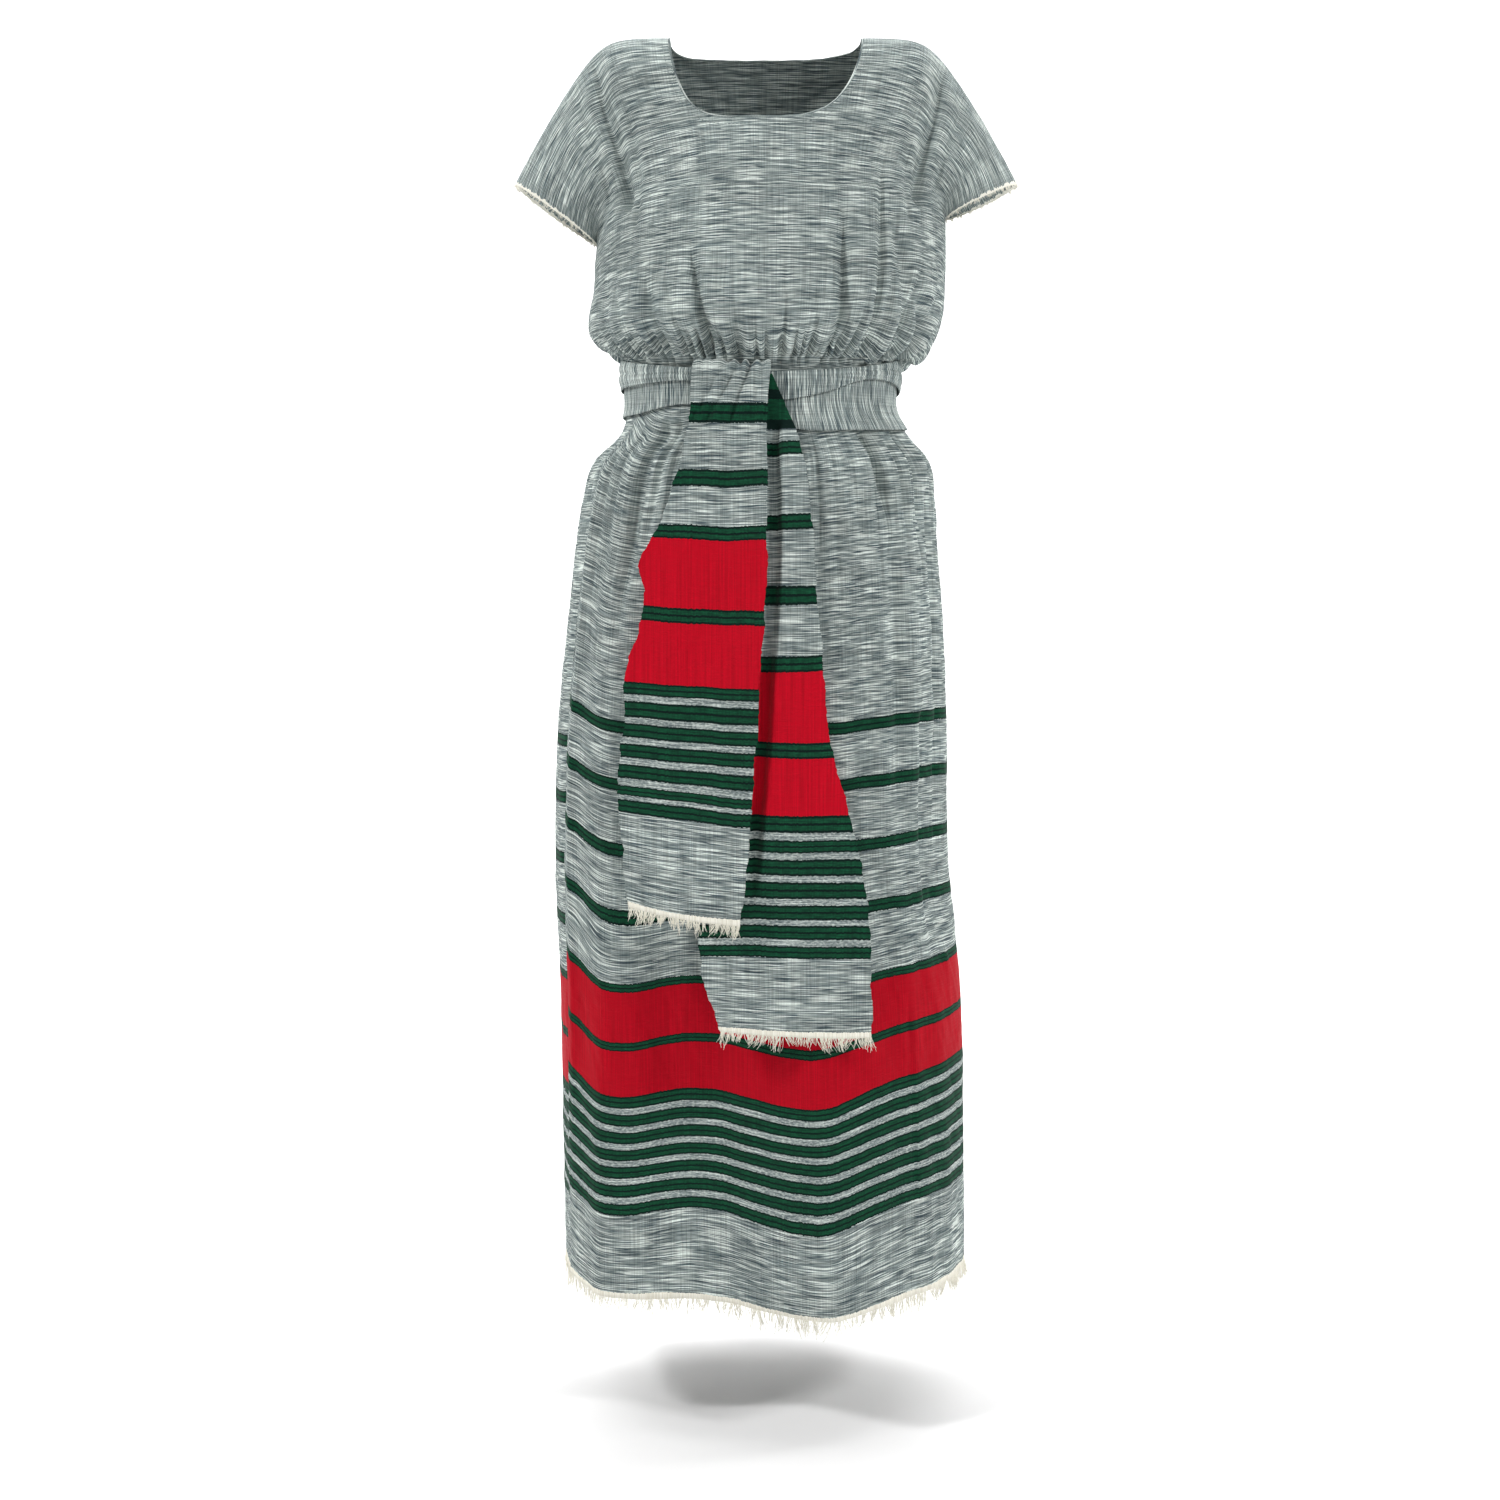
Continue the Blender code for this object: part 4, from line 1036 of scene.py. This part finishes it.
def skirt_detail(angle, height):
    """Fine gathers below the sash, soft long waves, and pressed lines, on top of the main folds."""
    run = np.radians(angle) * SKIRT_RADIUS
    below = ease((-0.388 - height) / 0.022)
    gone = ease((height + 0.60) / 0.16)
    size, width, seed = WAIST_GATHERS
    total = size * below * gone * puckers(run, width, seed)
    size, width, seed = FINE_GATHERS
    total = total + size * below * ease((height + 0.47) / 0.05) * puckers(run, width, seed)
    size, width, seed = LONG_WAVES
    waves = uneven_waves(run + 0.06 * height, width, seed)
    total = total + size * ease((-0.45 - height) / 0.15) * waves
    total = total + WAVER * below * cloth_waver(run, -height, 41)
    for top_angle, low_angle, top, bottom, width, size in SKIRT_CREASES:
        share = np.clip((top - height) / (top - bottom), 0.0, 1.0)
        away = turn_between(angle, top_angle + (low_angle - top_angle) * share) / width
        fade = ease(share / 0.08) * ease((1 - share) / 0.6)
        total = total + size * fade * np.exp(-away ** 1.5)
    return total


def fine_skirt(angle, height):
    """The skirt's outer surface with its folds and fine detail, still level at each height."""
    lift = skirt_fold_height(angle, height) + skirt_detail(angle, height)
    return skirt_surface(angle, height) + level_normal(angle, height) * lift[..., None]


def hem_dip(angle, height):
    """How far the hem hangs below its nominal height round the skirt, fading out upwards."""
    return -through(HEM_DIP, 1, angle) * ease((-1.12 - height) / 0.095)


def stripe_place(angle, height, facing):
    """How far down the cloth a point is: the stripes dip where the cloth hangs lower."""
    if facing == "back":
        return -height - BACK_STRIPE_DROOP * ease((height + 1.16) / 0.10)
    levels = np.array(DROOP_HEIGHTS)
    spread = np.stack([through(STRIPE_DROOP, k + 1, angle) for k in range(len(levels))], axis=-1)
    cell = np.clip(np.searchsorted(-levels, -height) - 1, 0, len(levels) - 2)
    share = ease((levels[cell] - height) / (levels[cell] - levels[cell + 1]))
    upper = np.take_along_axis(spread, cell[..., None], axis=-1)[..., 0]
    lower = np.take_along_axis(spread, cell[..., None] + 1, axis=-1)[..., 0]
    return -height - (upper + (lower - upper) * share)


def build_skirt(facing, first, last, sizes, material):
    """One skirt panel between two seams."""
    columns, rows = SKIRT_STEPS[facing]
    half_gap = math.degrees(SEAM_GAP / 2 / SEAM_REACH)
    angles = np.linspace(first + half_gap, last - half_gap, columns + 1)[None, :]
    heights = np.linspace(WAIST_SEAM_Z - SEAM_GAP, HEM_Z, rows + 1)[:, None]
    angles, heights = np.broadcast_arrays(angles, heights)
    outer = fine_skirt(angles, heights)
    outer[..., 2] += hem_dip(angles, heights)
    run = np.broadcast_to(run_along(outer[-1]), heights.shape)
    flat = np.stack([run, stripe_place(angles, heights, facing)], axis=-1)
    normal = level_normal(angles, heights)
    return shell("skirt_" + facing + "_cloth", outer, normal, sizes.cloth, flat, material)


def build_turn(which, sizes, material):
    """One turn of the sash: weft up and down, length round the waist, soft outward creases."""
    edges, first, last, rows, lift, depth = TURNS[which]
    closed = last - first == 360.0
    flat_angles = np.linspace(first, last, TURN_COLUMNS + 1)
    angles = flat_angles[:-1] if closed else flat_angles
    top, bottom = through(edges, 1, angles), through(edges, 2, angles)
    share = np.linspace(0.0, 1.0, rows + 1)[:, None]
    heights = top + (bottom - top) * share
    angles = np.broadcast_to(angles[None, :], heights.shape)
    normal = level_normal(angles, heights)
    round_turn = np.radians(angles)
    swing = 0.6 * np.sin(round_turn + 0.4) + 0.35 * np.sin(3 * round_turn)
    folds = np.abs(np.sin(share * 7.4 + swing)) ** 0.55
    crease = depth * folds * np.sin(share * math.pi) ** 0.6
    flare = SASH_FLARE_CLEARANCE * ease((SASH_FLARE_TOP - heights) / 0.02)
    stand = (lift + SASH_CLOTH + crease + flare)[..., None]
    outer = skirt_surface(angles, heights) + normal * stand
    spread = np.concatenate([heights, heights[:, :1]], axis=1) if closed else heights
    length = np.broadcast_to(np.radians(flat_angles) * TURN_RADIUS, spread.shape)
    flat = np.stack([-spread, length], axis=-1)
    name = "sash_" + which + "_turn_cloth"
    return shell(name, outer, normal, sizes.sash_cloth, flat, material, closed)


def fine_rows(table, count):
    """A tail's rows at even steps along it, read smoothly through its table."""
    table = np.array(table)
    run = np.cumsum(np.concatenate([[0.0], np.hypot(np.diff(table[:, 0]), np.diff(table[:, 3]))]))
    numbered = np.column_stack([run, table])
    at = np.linspace(0.0, run[-1], count + 1)
    return np.stack([through(numbered, k, at) for k in (1, 2, 3, 4)], axis=-1)


def beside_short_tail(side, height):
    """The long tail's valley along the short tail's edge, and the cloth raised beyond it."""
    rows = np.array(SHORT_TAIL)[:1:-1]
    edge = np.interp(height, rows[:, 0], rows[:, 2])
    away = side - edge
    held = ease((-0.375 - height) / 0.03) * ease((height + 0.86) / 0.10)
    valley = -0.0040 * np.exp(-((away - 0.004) / 0.006) ** 2)
    return held * (valley + 0.0075 * ease((away - 0.009) / 0.006))


def edge_waver(height, waves, seed):
    """A tail's uneven edge: broad and fine waves, added."""
    return sum(size * curve_sum(height, wave, seed + k) for k, (size, wave) in enumerate(waves))


def knot_creases(share, height):
    """The creases that fan out from the knot over the short tail."""
    total = 0.0
    for at_top, at_foot, depth in KNOT_CREASES:
        middle = at_top + (at_foot - at_top) * np.clip((-0.30 - height) / 0.075, 0, 1.4)
        total = total + depth * np.exp(-((share - middle) / 0.045) ** 2)
    return total * ease((height + 0.41) / 0.06)


def fine_tail(tail):
    """A hanging tail's outer points, normals and cloth places, with uneven edges."""
    rows = fine_rows(tail.outline, tail.rows)
    height, left, right, reach = rows.T
    free = ease((-0.345 - height) / 0.03)
    left = left + free * edge_waver(height, TAIL_LEFT_WAVER, tail.seed)
    right = right + free * edge_waver(height, TAIL_RIGHT_WAVER, tail.seed + 2)
    share = np.linspace(0.0, 1.0, TAIL_COLUMNS + 1)[None, :]
    level, free, reach = height[:, None], free[:, None], reach[:, None]
    run = (level - height[0]) / (height[-1] - height[0])
    side = left[:, None] + (right - left)[:, None] * share
    lift = TAIL_WAVER * free * cloth_waver(side, level, tail.seed + 4)
    for at_top, at_bottom, width, top_height, low_height in tail.folds:
        middle = at_top + (at_bottom - at_top) * run
        size = top_height + (low_height - top_height) * run
        lift = lift + size * ease(run / 0.1) * np.exp(-((share - middle) / width) ** 2)
    rise = tail.corner * ((1 - share) ** 1.6) * np.interp(run, *np.array(tail.rise).T)
    if tail.curl:
        curled = np.exp(-((1 - share) / 0.14) ** 2) * ease((-0.37 - level) / 0.08)
        lift = lift + tail.curl * free * curled + knot_creases(share, level)
        rise = rise - 0.010 * share * ease((run - 0.6) / 0.4)
    else:
        lift = lift + beside_short_tail(side, level)
    pleats = 0.5 + 0.5 * puckers(side - 0.35 * (level + 0.33) * share, 0.0120, tail.seed + 6)
    lift = lift + tail.pleats * pleats * ease((level + 0.46) / 0.10)
    sag = 0.25 * tail.corner * np.sin(share * math.pi) * ease((run - 0.82) / 0.18)
    along = np.gradient(rows[:, [3, 0]], axis=0)
    slope = unit(np.stack([along[:, 1], -along[:, 0]], axis=-1))
    normal = np.stack([np.zeros(len(rows)), slope[:, 0], -slope[:, 1]], axis=-1)
    normal = np.broadcast_to(normal[:, None, :], side.shape + (3,)).copy()
    points = np.stack([side, np.broadcast_to(-reach, side.shape), level + rise - sag], axis=-1)
    top = int(np.argmax(height))
    woven = np.where(np.arange(len(height)) < top, height - 2 * height[top], -height)
    flat = np.stack([side, np.broadcast_to(woven[:, None], side.shape)], axis=-1)
    return points + normal * lift[..., None], normal, flat


def neck_line(facing, sizes, below):
    """The neckline, or a line parallel to it some way down the cloth, as points and normals."""
    turn = np.linspace(-math.pi / 2, math.pi / 2, 241)
    square = np.where(turn < 0, NECK_CORNERS[0], NECK_CORNERS[1])
    across = NECK_HALF_WIDTH_AT * np.sign(turn) * np.abs(np.sin(turn)) ** (2 / square)
    down = neck_cut(across, facing)
    down = down + below / BODICE_LENGTH * np.clip(down / NECK_DEPTH_AT[facing], 0, 1)
    return bodice_cloth(facing, across * (1 + below / NECK_REACH), down, sizes)


def sleeve_line(side, facing, sizes):
    """The sleeve's edge from its tip to the underarm, its normals, and which way it frays."""
    sign = -1.0 if side == "left" else 1.0
    down = np.linspace(0.004, UNDERARM_AT - 0.004, 200)
    across = np.full_like(down, sign * SLEEVE_EDGE_AT)
    points, normal = bodice_cloth(facing, across, down, sizes)
    inner = bodice_surface(facing)(across * 0.97, down)
    return points - normal * sizes.cloth / 2, normal, unit(points - inner)


def rolled_edge(name, line, normal, radius, material):
    """A thin rolled edge: a small tube that follows a line, flattened a little."""
    side = unit(np.cross(unit(np.gradient(line, axis=0)), normal))
    turn = np.arange(10) * (2 * math.pi / 10)
    ring = (side[:, None] * np.cos(turn)[:, None]
            - normal[:, None] * np.sin(turn)[:, None] * 0.85)
    points = line[:, None] + ring * radius
    rows, columns = points.shape[:2]
    around = np.arange(columns + 1) * (2 * math.pi * radius / columns)
    flat = np.stack(np.broadcast_arrays(run_along(line)[:, None], around[None, :]), axis=-1)
    faces = cells(rows, columns, True).reshape(-1, 4)
    spots = cells(rows, columns + 1).reshape(-1, 4)
    return add_mesh(name, points.reshape(-1, 3), faces, flat.reshape(-1, 2)[spots], material)


def stitches(name, line, normal, length, material):
    """A row of running stitches along a line: short flattened beads, half sunk in the cloth."""
    run = run_along(line)
    pitch = length * STITCH_PITCH
    starts = np.arange(pitch, run[-1] - pitch, pitch)
    t = np.linspace(0.0, 1.0, 5)
    place = np.interp(starts[:, None] + t[None, :] * length, run, np.arange(len(line)))
    out = unit(between(normal, place.ravel())).reshape(place.shape + (3,))
    path = between(line, place.ravel()).reshape(place.shape + (3,)) + out * STITCH_RISE
    side = unit(np.cross(out, unit(np.gradient(path, axis=1))))
    radius = STITCH_RADIUS * (0.45 + 0.55 * np.sin(t * math.pi))
    return tubes(name, path, side, out, np.broadcast_to(radius, place.shape), material)


def studio_material(name, colour):
    """Matt paper with a very faint mottle."""
    made, tree = new_material(name)
    place = node(tree, "ShaderNodeTexCoord").outputs["Object"]
    mottle = node(tree, "ShaderNodeTexNoise", {"Vector": place, "Scale": 3.0, "Detail": 3.0})
    darker = tuple(c * 0.985 for c in colour)
    feed(tree, tree.nodes["Principled BSDF"], {
        "Base Color": blend(tree, mottle.outputs[0], colour, darker),
        "Roughness": 0.9, "Specular IOR Level": 0.1})
    return made


def build_floor(colours):
    """A floor that curves up into a backdrop, swept from one outline."""
    turn = np.linspace(0.1, math.pi / 2, 18)
    depth = np.concatenate([[FLOOR_FRONT, CURVE_FROM], CURVE_FROM + CURVE_RADIUS * np.sin(turn),
                            [CURVE_FROM + CURVE_RADIUS]])
    rise = np.concatenate([[0.0, 0.0], CURVE_RADIUS * (1 - np.cos(turn)), [BACKDROP_TOP]])
    side, back = np.meshgrid(np.array([-FLOOR_HALF_WIDTH, FLOOR_HALF_WIDTH]), depth)
    height = FLOOR_Z + np.broadcast_to(rise[:, None], side.shape)
    points = np.stack([side, back, height], axis=-1)
    faces = cells(*side.shape).reshape(-1, 4)[:, ::-1]
    flat = points[..., :2].reshape(-1, 2)[faces]
    floor = add_mesh("studio_floor", points.reshape(-1, 3), faces, flat,
                     studio_material("studio_paper", colours.floor))


def build_lights(scene):
    """A pale surround, a light high on each side, a fill in front and weaker lights behind."""
    world = bpy.data.worlds.new("studio_surround")
    world.use_nodes = True
    surround = world.node_tree.nodes["Background"]
    surround.inputs["Color"].default_value = (1.0, 1.0, 1.0, 1.0)
    surround.inputs["Strength"].default_value = SURROUND_STRENGTH
    scene.world = world
    for name, place, aim, size, power in LIGHTS:
        data = bpy.data.lights.new(name, "AREA")
        data.energy, data.size = power, size
        lamp = bpy.data.objects.new(name, data)
        lamp.location = place
        lamp.rotation_euler = (Vector(aim) - Vector(place)).to_track_quat("-Z", "Y").to_euler()
        scene.collection.objects.link(lamp)


def build_camera(scene):
    """The photograph's camera: level with the hips, 2.45 m in front, tilted a little down."""
    tilt = math.atan(CAMERA_TILT)
    data = bpy.data.cameras.new("front_camera")
    data.sensor_width = SENSOR_WIDTH
    data.lens = SENSOR_WIDTH * CAMERA_FOCAL / math.cos(tilt)
    camera = bpy.data.objects.new("front_camera", data)
    camera.location = CAMERA_PLACE
    camera.rotation_euler = (math.pi / 2 - tilt, 0.0, 0.0)
    scene.collection.objects.link(camera)
    scene.camera = camera
    scene.view_settings.view_transform = "Standard"


def length_property(name, description, default):
    """A length in metres, for the sizes' group."""
    return FloatProperty(name=name, description=description, default=default, min=0.0,
                         unit="LENGTH", subtype="DISTANCE", precision=5)


def colour_property(name, description, rgb):
    """A colour from screen numbers, for the colours' group."""
    return FloatVectorProperty(name=name, description=description, default=linear(*rgb), size=3,
                               subtype="COLOR", min=0.0, max=1.0)


class DressSizes(bpy.types.PropertyGroup):
    """Sizes of the finished cloth, threads and sewing."""
    cloth: length_property("Cloth", "Thickness of the dress's cloth", 0.0009)
    sash_cloth: length_property("Sash cloth", "Thickness of the sash's cloth", 0.0009)
    gather_height: length_property("Gather height", "Height of the waist gathers", 0.0074)
    gather_width: length_property("Gather width", "Width of one waist gather", 0.0108)
    thread: length_property("Thread", "Half width of a loose fringe thread", 0.00034)
    hem_fringe: length_property("Hem fringe", "Length of the longest hem fringe threads", 0.0190)
    tail_fringe: length_property("Tail fringe", "Length of the longest tail fringe threads", 0.0150)
    sleeve_fray: length_property("Sleeve fray", "Length of the frayed sleeve edge", 0.0040)
    neck_roll: length_property("Neck roll", "Half width of the rolled neck edge", 0.0011)
    stitch: length_property("Stitch", "Length of one sewing stitch", 0.0024)
    hem_threads: IntProperty(name="Hem threads", description="Threads in each hem fringe",
                             default=900, min=10)
    tail_threads: IntProperty(name="Tail threads", description="Threads in each tail fringe",
                              default=260, min=10)


class DressColours(bpy.types.PropertyGroup):
    """Colours of the yarns and of the studio."""
    dark_thread: colour_property("Dark thread", "Darkest weft yarn", (68, 82, 88))
    grey_dark: colour_property("Dark grey", "Darker cloth tone", (112, 125, 125))
    grey_light: colour_property("Light grey", "Paler cloth tone", (158, 169, 166))
    white_slub: colour_property("White slub", "Thick white weft yarn", (226, 235, 229))
    green_dark: colour_property("Dark green", "Edges of the green bands", (7, 30, 26))
    green_bright: colour_property("Bright green", "Middle of the green bands", (22, 84, 56))
    red_bright: colour_property("Bright red", "Red bands", (204, 3, 34))
    red_dark: colour_property("Dark red", "Ribs of the red bands", (170, 2, 26))
    cream: colour_property("Cream", "Undyed yarn of the edges and fringes", (252, 250, 238))
    cream_shade: colour_property("Cream shade", "Shaded undyed yarn", (234, 230, 214))
    floor: colour_property("Floor", "Floor and backdrop", (252, 252, 252))


def settings():
    """The scene's own sizes and colours for the dress."""
    scene = bpy.context.scene
    return scene.dress_sizes, scene.dress_colours


class DRESS_OT_bodice(bpy.types.Operator):
    """Build the bodice's front and back: one cloth width each, from sleeve edge to sleeve edge"""
    bl_idname = "dress.bodice"
    bl_label = "Bodice"

    def execute(self, context):
        sizes, colours = settings()
        cotton = slub_cotton("body_slub_cotton", colours, selvedge=True)
        for facing in ("front", "back"):
            panel = build_bodice(facing, sizes, cotton)
            place_piece(panel, "bodice_" + facing)
        return {"FINISHED"}


class DRESS_OT_bodice_edges(bpy.types.Operator):
    """Build the neckline's rolled edge with its stitches, and the frayed sleeve edges"""
    bl_idname = "dress.bodice_edges"
    bl_label = "Neckline and sleeve edges"

    def execute(self, context):
        sizes, colours = settings()
        rolled = slub_cotton("neck_edge_cotton", colours)
        yarn = loose_cotton("frayed_yarn", colours.cream, colours.cream_shade)
        sewing = loose_cotton("sewing_thread", colours.grey_light, colours.grey_dark)
        for facing in ("front", "back"):
            body = "bodice_" + facing
            line, normal = neck_line(facing, sizes, 0.0)
            path = line - normal * sizes.cloth / 2
            edge = rolled_edge(body + "_neck_edge", path, normal, sizes.neck_roll, rolled)
            place_piece(edge, body)
            line, normal = neck_line(facing, sizes, STITCH_INSET)
            row = stitches(body + "_neck_stitches", line, normal, sizes.stitch, sewing)
            place_piece(row, body)
            for side in ("left", "right"):
                line, normal, away = sleeve_line(side, facing, sizes)
                seed = 5 + len(side) + len(facing)
                fray = loose_threads(body + "_" + side + "_sleeve_fray", line, normal, away,
                                     SLEEVE_THREADS, sizes.sleeve_fray, sizes.thread, 5.0,
                                     seed, yarn)
                place_piece(fray, body)
        return {"FINISHED"}


class DRESS_OT_skirt(bpy.types.Operator):
    """Build the skirt's front and back panels with their folds and striped borders"""
    bl_idname = "dress.skirt"
    bl_label = "Skirt"

    def execute(self, context):
        sizes, colours = settings()
        cotton = slub_cotton("skirt_slub_cotton", colours, SKIRT_BANDS, PALE_STRETCH,
                             SKIRT_RED_DIM)
        for facing, first, last in SKIRT_SEAMS:
            panel = build_skirt(facing, first, last, sizes, cotton)
            place_piece(panel, "skirt_" + facing)
        return {"FINISHED"}


class DRESS_OT_hem_fringe(bpy.types.Operator):
    """Build the loose warp threads along the skirt's hem"""
    bl_idname = "dress.hem_fringe"
    bl_label = "Hem fringe"

    def execute(self, context):
        sizes, colours = settings()
        yarn = loose_cotton("hem_fringe_yarn", colours.cream, colours.cream_shade)
        for facing, first, last in SKIRT_SEAMS:
            angles = np.linspace(first + 0.3, last - 0.3, 400)
            heights = np.full_like(angles, HEM_Z)
            normal = level_normal(angles, heights)
            line = fine_skirt(angles, heights) - normal * sizes.cloth / 2
            line[:, 2] += hem_dip(angles, heights)
            fringe = hanging_fringe("hem_fringe_" + facing + "_threads", line, normal,
                                    sizes.hem_threads, sizes.hem_fringe, sizes.thread, 7.0,
                                    40 + len(facing), yarn)
            place_piece(fringe, "hem_fringe_" + facing)
        return {"FINISHED"}


class DRESS_OT_sash_turns(bpy.types.Operator):
    """Build the sash's two turns round the waist"""
    bl_idname = "dress.sash_turns"
    bl_label = "Sash turns"

    def execute(self, context):
        sizes, colours = settings()
        cotton = slub_cotton("sash_slub_cotton", colours)
        for which in TURNS:
            turn = build_turn(which, sizes, cotton)
            place_piece(turn, "sash_" + which + "_turn")
        return {"FINISHED"}


class DRESS_OT_sash_tails(bpy.types.Operator):
    """Build the sash's two striped hanging tails and their fringes"""
    bl_idname = "dress.sash_tails"
    bl_label = "Sash tails"

    def execute(self, context):
        sizes, colours = settings()
        yarn = loose_cotton("tail_fringe_yarn", colours.cream, colours.cream_shade)
        for name, tail in TAILS.items():
            cotton = slub_cotton(name + "_tail_slub_cotton", colours, tail.bands, tail.pale)
            outer, normal, flat = fine_tail(tail)
            cloth = shell("sash_tail_" + name + "_cloth", outer, normal, sizes.sash_cloth, flat,
                          cotton)
            place_piece(cloth, "sash_tail_" + name)
            line = outer[-1] - normal[-1] * sizes.sash_cloth / 2
            fringe = hanging_fringe("tail_" + name + "_fringe_threads", line, normal[-1],
                                    sizes.tail_threads, sizes.tail_fringe, sizes.thread, 6.0,
                                    tail.seed + 9, yarn)
            place_piece(fringe, "tail_" + name + "_fringe")
        return {"FINISHED"}


class DRESS_OT_declare_cloth(bpy.types.Operator):
    """An empty step: it makes no change to the scene"""
    bl_idname = "dress.declare_cloth"
    bl_label = "Cloth facts"

    def execute(self, context):
        return {"FINISHED"}


class DRESS_OT_stage(bpy.types.Operator):
    """Build the pale floor that rises behind the dress, the soft lights and the camera"""
    bl_idname = "dress.stage"
    bl_label = "Studio"

    def execute(self, context):
        scene = context.scene
        build_floor(scene.dress_colours)
        build_lights(scene)
        build_camera(scene)
        return {"FINISHED"}


class DRESS_PT_pieces(bpy.types.Panel):
    """Lists the dress's pieces and their sizes and colours"""
    bl_label = "Dress"
    bl_idname = "DRESS_PT_pieces"
    bl_space_type = "VIEW_3D"
    bl_region_type = "UI"
    bl_category = "Dress"

    def draw(self, context):
        layout = self.layout
        for operator in PIECES:
            layout.operator(operator.bl_idname)
        for title, group in (("Sizes", context.scene.dress_sizes),
                             ("Colours", context.scene.dress_colours)):
            box = layout.box()
            box.label(text=title)
            for name in group.bl_rna.properties.keys():
                if name not in {"rna_type", "name"}:
                    box.prop(group, name)


PIECES = (DRESS_OT_bodice, DRESS_OT_bodice_edges, DRESS_OT_skirt, DRESS_OT_hem_fringe,
          DRESS_OT_sash_turns, DRESS_OT_sash_tails, DRESS_OT_declare_cloth, DRESS_OT_stage)
CLASSES = (DressSizes, DressColours, *PIECES, DRESS_PT_pieces)


def register():
    """Registers the add-on's classes and its two groups of properties."""
    for item in CLASSES:
        bpy.utils.register_class(item)
    bpy.types.Scene.dress_sizes = PointerProperty(type=DressSizes)
    bpy.types.Scene.dress_colours = PointerProperty(type=DressColours)


def unregister():
    """Takes the add-on out again."""
    del bpy.types.Scene.dress_colours
    del bpy.types.Scene.dress_sizes
    for item in reversed(CLASSES):
        bpy.utils.unregister_class(item)


def main():
    """Builds the dress and its studio with the add-on's own operators."""
    register()
    bpy.ops.dress.bodice()
    bpy.ops.dress.bodice_edges()
    bpy.ops.dress.skirt()
    bpy.ops.dress.hem_fringe()
    bpy.ops.dress.sash_turns()
    bpy.ops.dress.sash_tails()
    bpy.ops.dress.declare_cloth()
    bpy.ops.dress.stage()


if __name__ == "__main__":
    main()
